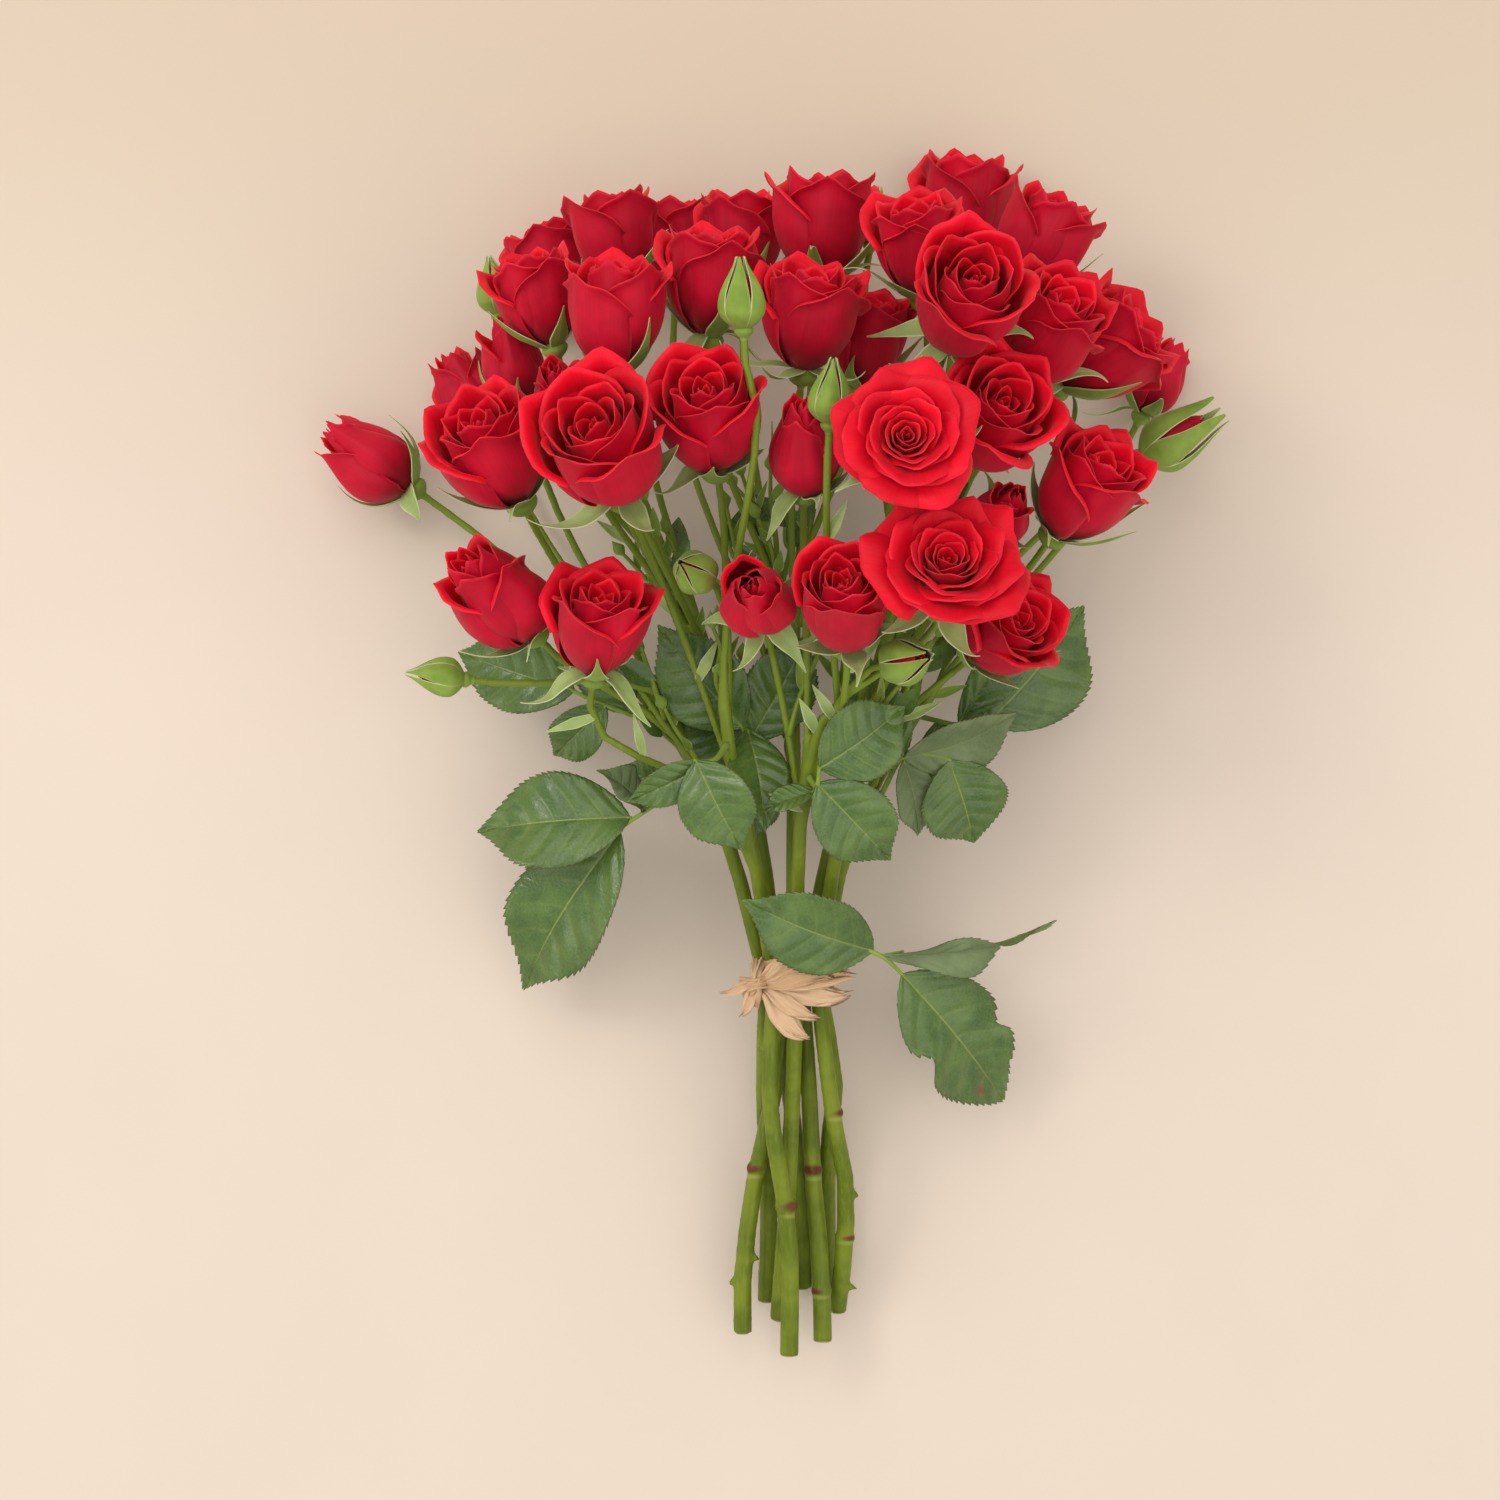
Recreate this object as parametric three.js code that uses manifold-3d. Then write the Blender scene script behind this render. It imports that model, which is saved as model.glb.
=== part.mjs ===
// A tied bunch of red spray roses, lying on its back on a table.
//
// Eight cut canes run through one raffia tie. Above it each cane forks into slim
// stalks, and each stalk ends in a rose or a green bud. Compound leaves sit low on
// the canes. Millimetres, +X across the bunch, +Y from the cut ends to the flowers,
// +Z up from the table.
//
// Places are first chosen as they should look, with the tie at x = 0, y = 0. Then
// settle() presses the bunch together as a hand and the table do: canes, stalks and
// flowers push each other apart until none of them share the same space.

import * as THREE from "three";
import { mergeVertices } from "three/addons/utils/BufferGeometryUtils.js";
import Module from "manifold-3d";

const wasm = await Module();
wasm.setup();

// ---- Driving dimensions ----------------------------------------------------

const CANE_END_RADIUS = 3.9; // at the cut
const CANE_CROWN_RADIUS = 2.5; // where the cane has forked for the last time
const CANE_SIDES = 7;
const CANE_STEP = 22; // between two rings of a cane

const STALK_RADIUS = 1.6;
const STALK_SIDES = 5;
const STALK_STEP = 18;
const STALK_STRAIGHT = 9; // the last stretch, in line with its flower
const FORK_SPACING = 13; // along the cane, between two stalks
const FORK_NARROWNESS = 0.45; // 1 would leave in line with the cane

const FLOWER_SCALE = 1; // for all roses and buds at once
const FLOWER_SIDES = 8;

const LEAF_SCALE = 1; // for the widths of all leaflets at once
const LEAF_THICKNESS = 1.1;
const LEAF_STALK_RADIUS = 1.0;
const LEAF_STALK_SIDES = 5;
const LEAFLET_STEPS = 6;

const TIE_MIDDLE = [3.5, 0, 42]; // of the canes, where the tie holds them
const TIE_SLOT_RING = 11; // from the middle cane to the seven round it
const TIE_WIDTH = 17;
const TIE_THICKNESS = 2.2;
const TIE_SIDES = 16;

const GAP = 0.3; // kept between two pieces that touch
const FINEST = 0.12; // smaller steps left by joins and cuts are smoothed away
const SETTLE_ROUNDS = 500;

// ---- The canes: cut end, bends, then the slot in the tie and the crown -----

// Slot 0 is the middle one and the other seven stand round it. The canes cross in
// the tie, as in any bunch that is turned in the hand while it is made.
const SLOTS = 7;
const FIRST_SLOT_TURN = 32; // degrees from +X towards +Z
const slotAt = (slot) => {
  if (slot === 0) return TIE_MIDDLE;
  const turn = THREE.MathUtils.degToRad(FIRST_SLOT_TURN + (360 / SLOTS) * (slot - 1));
  return [
    TIE_MIDDLE[0] + TIE_SLOT_RING * Math.cos(turn),
    TIE_MIDDLE[1],
    TIE_MIDDLE[2] + TIE_SLOT_RING * Math.sin(turn),
  ];
};

const CANES = [
  {
    slot: 3,
    below: [[2, -153, 33], [2, -104, 38], [-2, -77, 42], [-6, -50, 46]],
    above: [[-14, 60, 68], [-27, 112, 88]],
  },
  {
    slot: 2,
    below: [[-2, -141, 17], [1, -98, 27], [3, -54, 38]],
    above: [[6, 55, 74], [11, 106, 99]],
  },
  {
    slot: 4,
    below: [[-7, -135, 8], [-6, -94, 16], [-8, -45, 29]],
    above: [[-24, 60, 56], [-50, 118, 70]],
  },
  {
    slot: 1,
    below: [[22, -138, 14], [25, -108, 24], [25, -82, 33], [20, -56, 41]],
    above: [[20, 55, 68], [30, 108, 90]],
  },
  {
    slot: 7,
    below: [[18, -131, 4], [18, -105, 9], [18, -72, 19], [21, -46, 27]],
    above: [[26, 60, 54], [57, 122, 76]],
  },
  {
    slot: 6,
    below: [[16, -149, 25], [15, -118, 24], [12, -82, 25], [10, -42, 30]],
    above: [[22, 70, 46], [44, 150, 56]],
  },
  {
    slot: 5,
    below: [[8, -130, 4], [6, -85, 14], [2, -42, 24]],
    above: [[-12, 70, 44], [-36, 148, 56]],
  },
  {
    slot: 0,
    below: [[-17, -146, 20], [-17, -122, 22], [-12, -80, 27], [-5, -48, 33]],
    above: [[4, 75, 52], [4, 158, 62]],
  },
];

// ---- The flowers: which cane, what kind, radius, middle of the cup, facing --

// Outlines from the stalk to the tip, as [share of the radius, share of the length].
const KINDS = {
  open_rose: {
    length: 0.95,
    outline: [[0.3, 0.04], [0.68, 0.3], [1, 0.74], [0.9, 0.95], [0, 1]],
    balls: [[0, 0.5, 0.46]],
    ring: [0.62, 0.66, 0.36],
  },
  half_open_rose: {
    length: 1.95,
    outline: [[0.55, 0.04], [0.88, 0.2], [1, 0.5], [0.96, 0.8], [0.86, 0.97], [0, 1]],
    balls: [[0, 0.46, 0.98], [0, 0.72, 0.92]],
  },
  closed_rose: {
    length: 2.15,
    outline: [[0.55, 0.04], [0.9, 0.2], [1, 0.42], [0.86, 0.76], [0.6, 0.96], [0, 1]],
    balls: [[0, 0.42, 0.98], [0, 0.7, 0.84]],
  },
  green_bud: {
    length: 2.9,
    outline: [[0.66, 0.04], [1, 0.24], [0.86, 0.52], [0.3, 0.86], [0, 1]],
    balls: [[0, 0.3, 0.98], [0, 0.56, 0.72]],
  },
};

const HIP_LENGTH = 0.4; // of the green cup under the petals, in flower radii
const HIP_RADIUS = 0.34;

const FLOWERS = [
  // left, low
  { cane: 3, kind: "closed_rose", radius: 17, at: [-168, 213, 26], facing: [-0.8, 0.58, 0.15] },
  { cane: 3, kind: "closed_rose", radius: 15, at: [-129, 238, 10], facing: [-0.45, 0.88, 0.1] },
  { cane: 3, kind: "closed_rose", radius: 13, at: [-106, 247, 78], facing: [-0.2, 0.93, 0.3] },
  { cane: 3, kind: "closed_rose", radius: 19, at: [-110, 152, 108], facing: [-0.52, 0.55, 0.62] },
  { cane: 3, kind: "green_bud", radius: 8, at: [-138, 123, 82], facing: [-0.97, 0.1, 0.15] },
  // left, upper
  { cane: 1, kind: "half_open_rose", radius: 20, at: [-110, 206, 112], facing: [-0.35, 0.68, 0.62] },
  { cane: 1, kind: "half_open_rose", radius: 23, at: [-65, 204, 150], facing: [-0.22, 0.5, 0.84] },
  { cane: 1, kind: "half_open_rose", radius: 18, at: [-72, 138, 120], facing: [0.12, 0.78, 0.6] },
  { cane: 1, kind: "half_open_rose", radius: 20, at: [-28, 215, 140], facing: [-0.1, 0.66, 0.74] },
  { cane: 1, kind: "green_bud", radius: 8.5, at: [-36, 162, 134], facing: [-0.35, 0.2, 0.9] },
  { cane: 1, kind: "green_bud", radius: 9, at: [-17, 263, 160], facing: [-0.05, 0.98, 0.18] },
  // far end, left
  { cane: 7, kind: "half_open_rose", radius: 17, at: [-94, 290, 10], facing: [-0.35, 0.92, 0.1] },
  { cane: 7, kind: "half_open_rose", radius: 17, at: [-68, 296, 56], facing: [-0.1, 0.97, 0.15] },
  { cane: 7, kind: "half_open_rose", radius: 16, at: [-96, 266, 98], facing: [-0.3, 0.9, 0.3] },
  { cane: 7, kind: "half_open_rose", radius: 19, at: [-66, 256, 124], facing: [-0.02, 0.94, 0.32] },
  { cane: 7, kind: "closed_rose", radius: 14, at: [-87, 228, 108], facing: [-0.15, 0.6, 0.78] },
  { cane: 7, kind: "green_bud", radius: 8, at: [-116, 279, 66], facing: [-0.16, 0.97, 0.1] },
  // far end, middle
  { cane: 8, kind: "half_open_rose", radius: 17, at: [-44, 299, 10], facing: [0.05, 0.98, 0.1] },
  { cane: 8, kind: "half_open_rose", radius: 17, at: [-17, 297, 48], facing: [0, 0.97, 0.2] },
  { cane: 8, kind: "half_open_rose", radius: 19, at: [15, 297, 76], facing: [0.08, 0.98, 0.15] },
  { cane: 8, kind: "half_open_rose", radius: 18, at: [-30, 272, 106], facing: [0, 0.94, 0.28] },
  { cane: 8, kind: "half_open_rose", radius: 18, at: [8, 256, 124], facing: [0.1, 0.9, 0.4] },
  { cane: 8, kind: "half_open_rose", radius: 16, at: [32, 252, 88], facing: [0.15, 0.9, 0.36] },
  // near the middle, turned up
  { cane: 2, kind: "closed_rose", radius: 16, at: [-11, 150, 138], facing: [-0.1, 0.25, 0.95] },
  { cane: 2, kind: "half_open_rose", radius: 18, at: [22, 146, 146], facing: [-0.06, 0.62, 0.76] },
  { cane: 2, kind: "closed_rose", radius: 16, at: [8, 206, 136], facing: [0, 0.78, 0.62] },
  { cane: 2, kind: "green_bud", radius: 9.5, at: [46, 128, 138], facing: [0.5, 0.1, 0.84] },
  { cane: 2, kind: "open_rose", radius: 29, at: [57, 159, 156], facing: [0.05, 0.5, 0.86] },
  { cane: 4, kind: "open_rose", radius: 27, at: [43, 207, 170], facing: [0.03, 0.18, 0.98] },
  { cane: 4, kind: "green_bud", radius: 8.5, at: [16, 227, 156], facing: [0.05, 0.95, 0.3] },
  { cane: 4, kind: "half_open_rose", radius: 20, at: [77, 218, 126], facing: [0.3, 0.4, 0.86] },
  { cane: 4, kind: "half_open_rose", radius: 17, at: [82, 138, 104], facing: [0.42, 0.35, 0.7] },
  { cane: 4, kind: "closed_rose", radius: 12, at: [84, 186, 104], facing: [0.2, 0.4, 0.88] },
  // far end, right
  { cane: 6, kind: "half_open_rose", radius: 19, at: [74, 314, 10], facing: [0.06, 0.96, 0.26] },
  { cane: 6, kind: "half_open_rose", radius: 18, at: [100, 294, 60], facing: [0.42, 0.84, 0.24] },
  { cane: 6, kind: "half_open_rose", radius: 17, at: [51, 285, 108], facing: [-0.12, 0.86, 0.46] },
  { cane: 6, kind: "half_open_rose", radius: 21, at: [66, 260, 146], facing: [0.16, 0.42, 0.88] },
  { cane: 6, kind: "green_bud", radius: 8, at: [36, 308, 60], facing: [0.15, 0.98, 0.05] },
  // right
  { cane: 5, kind: "half_open_rose", radius: 20, at: [98, 252, 112], facing: [0.4, 0.62, 0.56] },
  { cane: 5, kind: "half_open_rose", radius: 19, at: [124, 250, 76], facing: [0.75, 0.55, 0.3] },
  { cane: 5, kind: "closed_rose", radius: 13, at: [155, 246, 10], facing: [0.45, 0.88, 0.1] },
  { cane: 5, kind: "half_open_rose", radius: 19, at: [114, 192, 100], facing: [0.45, 0.66, 0.56] },
  { cane: 5, kind: "green_bud", radius: 12, at: [160, 222, 40], facing: [0.82, 0.54, 0.16] },
];

// ---- The leaves: which cane and how far along it, the leaf stalk, leaflets --

// A leaflet runs from base to tip, with its upper side towards face. cup is how far
// its halves fold up, and arch how far its middle stands out from the straight line.
const LEAVES = [
  {
    cane: 3, along: 70, stalk: [[-38, 80, 68], [-52, 72, 64], [-67, 62, 58]],
    leaflets: [
      { base: [-66, 61, 58], tip: [-107, -4, 22], face: [-0.3, 0.2, 0.93], width: 43, cup: 0.16, arch: 7 },
      { base: [-62, 67, 60], tip: [-124, 61, 42], face: [-0.1, 0.2, 0.96], width: 38, cup: 0.14, arch: 7 },
      { base: [-56, 70, 63], tip: [-74, 86, 84], face: [0.7, 0.3, 0.6], width: 15, cup: 0.4, arch: 3 },
      { base: [-44, 77, 67], tip: [-64, 88, 60], face: [-0.2, -0.4, 0.9], width: 20, cup: 0.3, arch: 2 },
    ],
  },
  {
    cane: 4, along: 16, stalk: [[26, 18, 62], [34, 14, 64], [41, 10, 62], [48, 3, 56]],
    leaflets: [
      { base: [47, 4, 57], tip: [90, -50, 20], face: [-0.1, 0.4, 0.9], width: 43, cup: 0.12, arch: 6 },
      { base: [35, 14, 64], tip: [-17, 35, 82], face: [-0.15, -0.25, 0.96], width: 33, cup: 0.14, arch: 5 },
      { base: [39, 12, 63], tip: [109, 25, 50], face: [0.1, -0.7, 0.7], width: 15, cup: 0.5, arch: 6 },
    ],
  },
  {
    cane: 1, along: 84, stalk: [[-28, 90, 98], [-36, 90, 101]],
    leaflets: [
      { base: [-35, 90, 101], tip: [-17, 55, 93], face: [-0.1, -0.15, 0.98], width: 29, cup: 0.16, arch: 4 },
      { base: [-29, 90, 99], tip: [-62, 74, 88], face: [-0.3, -0.5, 0.8], width: 15, cup: 0.3, arch: 3 },
    ],
  },
  {
    cane: 2, along: 72, stalk: [[12, 80, 97], [13, 88, 101]],
    leaflets: [
      { base: [13, 87, 101], tip: [46, 111, 96], face: [0.1, -0.35, 0.93], width: 31, cup: 0.12, arch: 3 },
      { base: [12, 81, 98], tip: [41, 51, 84], face: [0.15, -0.15, 0.97], width: 30, cup: 0.14, arch: 5 },
      { base: [11, 78, 95], tip: [-9, 70, 96], face: [0.1, 0.5, 0.86], width: 10, cup: 0.4, arch: 2 },
    ],
  },
  {
    cane: 5, along: 66, stalk: [[38, 76, 66], [47, 92, 70], [58, 92, 71], [66, 90, 70]],
    leaflets: [
      { base: [47, 91, 71], tip: [92, 109, 64], face: [0.1, -0.6, 0.78], width: 26, cup: 0.3, arch: 5 },
      { base: [65, 90, 70], tip: [76, 57, 52], face: [0.2, -0.2, 0.95], width: 34, cup: 0.1, arch: 4 },
      { base: [47, 90, 70], tip: [53, 60, 60], face: [0.5, -0.2, 0.84], width: 18, cup: 0.3, arch: 3 },
      { base: [47, 92, 71], tip: [24, 128, 74], face: [-0.1, -0.2, 0.97], width: 26, cup: 0.1, arch: 4 },
    ],
  },
  {
    cane: 6, along: 104, stalk: [[52, 108, 52], [70, 104, 52], [82, 104, 52]],
    leaflets: [
      { base: [81, 104, 52], tip: [121, 152, 42], face: [0.15, -0.2, 0.96], width: 44, cup: 0.1, arch: 6 },
      { base: [70, 105, 52], tip: [102, 160, 64], face: [0.3, -0.3, 0.9], width: 20, cup: 0.3, arch: 4 },
      { base: [62, 106, 52], tip: [66, 74, 30], face: [0.1, -0.2, 0.96], width: 24, cup: 0.2, arch: 4 },
    ],
  },
  {
    cane: 7, along: 96, stalk: [[-46, 104, 46], [-72, 112, 48], [-86, 118, 48]],
    leaflets: [
      { base: [-85, 118, 48], tip: [-133, 134, 30], face: [-0.1, -0.1, 0.98], width: 31, cup: 0.12, arch: 5 },
      { base: [-72, 112, 48], tip: [-94, 92, 32], face: [-0.2, -0.3, 0.9], width: 20, cup: 0.3, arch: 5 },
      { base: [-62, 109, 47], tip: [-84, 146, 38], face: [-0.1, -0.1, 0.98], width: 24, cup: 0.2, arch: 4 },
    ],
  },
  {
    cane: 8, along: 84, stalk: [[-8, 88, 60], [-14, 98, 68], [-18, 104, 72]],
    leaflets: [
      { base: [-17, 103, 72], tip: [-50, 143, 78], face: [-0.1, -0.3, 0.95], width: 34, cup: 0.14, arch: 3 },
      { base: [-9, 89, 61], tip: [-12, 58, 57], face: [-0.3, -0.1, 0.95], width: 20, cup: 0.15, arch: 3 },
      { base: [-14, 98, 68], tip: [9, 140, 72], face: [0.1, -0.2, 0.97], width: 28, cup: 0.1, arch: 4 },
      { base: [-9, 89, 61], tip: [-46, 114, 55], face: [0.1, -0.1, 0.98], width: 26, cup: 0.1, arch: 3 },
      { base: [-15, 102, 71], tip: [-8, 62, 86], face: [0.25, 0.3, 0.92], width: 23, cup: 0.15, arch: 4 },
    ],
  },
];

// ---- The raffia: a knot on the tie's upper left, with loops and loose ends --

// All from the tie's middle.
const KNOT = { at: [-15, 0, 12], radii: [7, 8, 5.5] };
const RAFFIA_ENDS = [
  { to: [24, 5, 20], width: 14, thickness: 3.2 },
  { to: [5, 14, 21], width: 6, thickness: 2.4 },
  { to: [5, -21, 18], width: 8, thickness: 2.4 },
  { to: [-31, -4, 12], width: 5, thickness: 2.2 },
  { to: [-22, -14, 13], width: 5, thickness: 2.2 },
];

// ---- Small helpers ----------------------------------------------------------

const vec = (p) => new THREE.Vector3(...p);
const unit = (p) => vec(p).normalize();
const mix = THREE.MathUtils.lerp;

// A closed surface as a solid that can be joined and cut.
function solid(geometry) {
  const bare = geometry.index ? geometry.toNonIndexed() : geometry.clone();
  bare.deleteAttribute("normal");
  bare.deleteAttribute("uv");
  const merged = mergeVertices(bare, 1e-3);
  return new wasm.Manifold(
    new wasm.Mesh({
      numProp: 3,
      vertProperties: merged.attributes.position.array,
      triVerts: new Uint32Array(merged.index.array),
    }),
  );
}

function surface(made) {
  const { numProp, vertProperties, triVerts } = made.getMesh();
  const places = new Float32Array((vertProperties.length / numProp) * 3);
  for (let i = 0; i * numProp < vertProperties.length; i++) {
    places.set(vertProperties.subarray(i * numProp, i * numProp + 3), i * 3);
  }
  const geometry = new THREE.BufferGeometry();
  geometry.setAttribute("position", new THREE.BufferAttribute(places, 3));
  geometry.setIndex(new THREE.BufferAttribute(triVerts, 1));
  geometry.computeVertexNormals();
  return geometry;
}

// The biggest piece that a cut has left.
const largest = (made) =>
  made.decompose().reduce((a, b) => (a.volume() > b.volume() ? a : b));

// ---- Chains: canes and stalks as points joined by links --------------------

// A point's hold says how firmly it keeps its place: 1 is pinned, 0 is free.
const point = (at, radius, hold = 0) => ({ at, radius, hold });

// Points about step apart along a smooth line through the given places.
function spread(places, step) {
  const line = new THREE.CatmullRomCurve3(places, false, "centripetal");
  return line.getSpacedPoints(Math.max(3, Math.round(line.getLength() / step)));
}

// The tie's own point is pinned: it has to be one of the cane's points.
function makeCane({ slot, below, above }) {
  const low = spread([...below, slotAt(slot)].map(vec), CANE_STEP);
  const high = spread([slotAt(slot), ...above].map(vec), CANE_STEP).slice(1);
  const all = [...low, ...high];
  return all.map((at, i) => {
    const radius = mix(CANE_END_RADIUS, CANE_CROWN_RADIUS, i / (all.length - 1));
    const hold = i === low.length - 1 || i === 0 ? 1 : 0;
    return point(at, radius, hold);
  });
}

function makeFlower(row) {
  const kind = KINDS[row.kind];
  const radius = row.radius * FLOWER_SCALE;
  const length = radius * kind.length;
  const axis = unit(row.facing);
  const hip = HIP_LENGTH * radius;
  const foot = -0.5 * length - hip - GAP; // where its stalk ends, from the middle
  const side = new THREE.Vector3(0.31, 0.17, -0.94).cross(axis).normalize();
  const balls = kind.balls.map(([, up, r]) => ({
    offset: axis.clone().multiplyScalar((up - 0.5) * length),
    radius: r * radius,
  }));
  balls.push({
    offset: axis.clone().multiplyScalar(-0.5 * length - 0.5 * hip),
    radius: HIP_RADIUS * radius,
  });
  const petals = kind.ring ? 6 : 0; // a wide rose also gets a ring of balls
  for (let i = 0; i < petals; i++) {
    const [out, up, r] = kind.ring;
    const spoke = side.clone().applyAxisAngle(axis, (2 * Math.PI * i) / petals);
    balls.push({
      offset: spoke
        .multiplyScalar(out * radius)
        .addScaledVector(axis, (up - 0.5) * length),
      radius: r * radius,
    });
  }
  const flower = { ...row, axis, radius, length, hip, foot, balls };
  flower.at = new THREE.Vector3();
  flower.reach = -flowerSolid(flower).boundingBox().min[2]; // below its middle
  flower.at = vec(row.at);
  flower.home = vec(row.at);
  return flower;
}

// A stalk leaves its cane at a narrow angle and reaches the flower from below. Its
// last two points ride with the flower.
function makeStalk(cane, from, flower) {
  const start = cane[from];
  const along = start.at.clone().sub(cane[from - 1].at).normalize();
  const foot = flower.at.clone().addScaledVector(flower.axis, flower.foot);
  const before = foot.clone().addScaledVector(flower.axis, -STALK_STRAIGHT);
  const reach = 0.33 * start.at.distanceTo(before);
  const leave = before.clone().sub(start.at).normalize().lerp(along, FORK_NARROWNESS);
  const line = new THREE.CubicBezierCurve3(
    start.at,
    start.at.clone().addScaledVector(leave, reach),
    before.clone().addScaledVector(flower.axis, -reach),
    before,
  );
  const count = Math.max(3, Math.round(line.getLength() / STALK_STEP));
  const middle = line.getSpacedPoints(count).slice(1, -1);
  return [
    start,
    ...middle.map((at) => point(at, STALK_RADIUS)),
    point(before, STALK_RADIUS),
    point(foot, STALK_RADIUS),
  ];
}

// ---- Settling ---------------------------------------------------------------

// Where two links come closest, as shares of their lengths.
function nearest(p1, q1, p2, q2) {
  const d1 = q1.clone().sub(p1);
  const d2 = q2.clone().sub(p2);
  const r = p1.clone().sub(p2);
  const a = d1.dot(d1);
  const e = d2.dot(d2);
  const f = d2.dot(r);
  const c = d1.dot(r);
  const b = d1.dot(d2);
  const denominator = a * e - b * b;
  const within = (x) => Math.min(1, Math.max(0, x));
  let s = denominator > 1e-9 ? within((b * f - c * e) / denominator) : 0.5;
  const t = within((b * s + f) / e);
  s = within((b * t - c) / a);
  return [s, t];
}

// Moves points along a direction, each by its own share.
function push(points, shares, direction, amount) {
  const total = points.reduce((sum, p, i) => sum + (1 - p.hold) * shares[i] ** 2, 0);
  if (total < 1e-9) return;
  points.forEach((p, i) => {
    p.at.addScaledVector(direction, (amount * (1 - p.hold) * shares[i]) / total);
  });
}

function settle(stems, flowers) {
  const links = [];
  stems.forEach((stem, owner) =>
    stem.chains.forEach((chain, order) => {
      for (let i = 1; i < chain.length; i++) {
        const [a, b] = [chain[i - 1], chain[i]];
        const forking = order > 0 && i < 3; // it is still joined to its cane
        links.push({ a, b, owner, order, forking, rest: a.at.distanceTo(b.at) });
      }
    }),
  );
  const bends = new Map(); // how far each point stands out from its neighbours' middle
  const middleOf = (chain, i) => chain[i - 1].at.clone().lerp(chain[i + 1].at, 0.5);
  for (const { chains } of stems) {
    for (const chain of chains) {
      for (let i = 1; i < chain.length - 2; i++) {
        bends.set(chain[i], chain[i].at.clone().sub(middleOf(chain, i)));
      }
    }
  }
  const clear = GAP + 0.15;
  const apart = new THREE.Vector3();
  for (let round = 0; round < SETTLE_ROUNDS; round++) {
    const calm = round / SETTLE_ROUNDS; // shape matters first, clearance last
    for (const { a, b, rest } of links) {
      apart.subVectors(b.at, a.at);
      const stretch = apart.length() - rest;
      apart.normalize();
      const sum = 2 - a.hold - b.hold || 1;
      a.at.addScaledVector(apart, (0.5 * stretch * (1 - a.hold)) / sum);
      b.at.addScaledVector(apart, (-0.5 * stretch * (1 - b.hold)) / sum);
    }
    for (const { chains } of stems) {
      for (const chain of chains) {
        for (let i = 1; i < chain.length - 2; i++) {
          const target = middleOf(chain, i).add(bends.get(chain[i]));
          chain[i].at.lerp(target, 0.3 * (1 - calm) * (1 - chain[i].hold));
        }
      }
    }
    for (const flower of flowers) {
      const drift = flower.home.clone().sub(flower.at);
      flower.at.addScaledVector(drift, 0.04 * (1 - calm));
    }
    for (let i = 0; i < links.length; i++) {
      for (let j = i + 1; j < links.length; j++) {
        const [m, n] = [links[i], links[j]];
        const joined = m.forking || n.forking || m.order === n.order;
        if (m.owner === n.owner && joined) continue;
        if (m.a.at.distanceToSquared(n.a.at) > (m.rest + n.rest + 12) ** 2) continue;
        const [s, t] = nearest(m.a.at, m.b.at, n.a.at, n.b.at);
        const p = m.a.at.clone().lerp(m.b.at, s);
        const q = n.a.at.clone().lerp(n.b.at, t);
        const room = mix(m.a.radius, m.b.radius, s) + mix(n.a.radius, n.b.radius, t) + clear;
        apart.subVectors(p, q);
        const near = apart.length();
        if (near >= room || near < 1e-6) continue;
        apart.normalize();
        push([m.a, m.b], [1 - s, s], apart, 0.5 * (room - near));
        push([n.a, n.b], [1 - t, t], apart, -0.5 * (room - near));
      }
      for (const flower of flowers) {
        if (links[i].b.flower === flower) continue;
        for (const ball of flower.balls) {
          const centre = flower.at.clone().add(ball.offset);
          const { a, b } = links[i];
          if (a.at.distanceTo(centre) > ball.radius + 30) continue;
          const line = b.at.clone().sub(a.at);
          const s = Math.min(1, Math.max(0, centre.clone().sub(a.at).dot(line) / line.lengthSq()));
          const p = a.at.clone().lerp(b.at, s);
          const room = mix(a.radius, b.radius, s) + ball.radius + clear;
          apart.subVectors(p, centre);
          const near = apart.length();
          if (near >= room || near < 1e-6) continue;
          apart.normalize();
          push([a, b], [1 - s, s], apart, 0.8 * (room - near));
          flower.at.addScaledVector(apart, -0.2 * (room - near));
        }
      }
    }
    for (let i = 0; i < flowers.length; i++) {
      for (let j = i + 1; j < flowers.length; j++) {
        for (const m of flowers[i].balls) {
          for (const n of flowers[j].balls) {
            const p = flowers[i].at.clone().add(m.offset);
            const q = flowers[j].at.clone().add(n.offset);
            apart.subVectors(p, q);
            const overlap = m.radius + n.radius + clear - apart.length();
            if (overlap <= 0) continue;
            apart.normalize();
            flowers[i].at.addScaledVector(apart, 0.5 * overlap);
            flowers[j].at.addScaledVector(apart, -0.5 * overlap);
          }
        }
      }
      flowers[i].at.z = Math.max(flowers[i].at.z, flowers[i].reach);
    }
    for (const { chains } of stems) {
      for (const chain of chains) {
        for (const p of chain) p.at.z = Math.max(p.at.z, p.radius);
      }
    }
    for (const { at, axis, foot, tail } of flowers) {
      tail[1].at.copy(at).addScaledVector(axis, foot);
      tail[0].at.copy(tail[1].at).addScaledVector(axis, -STALK_STRAIGHT);
    }
  }
}

// ---- Shapes -----------------------------------------------------------------

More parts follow.
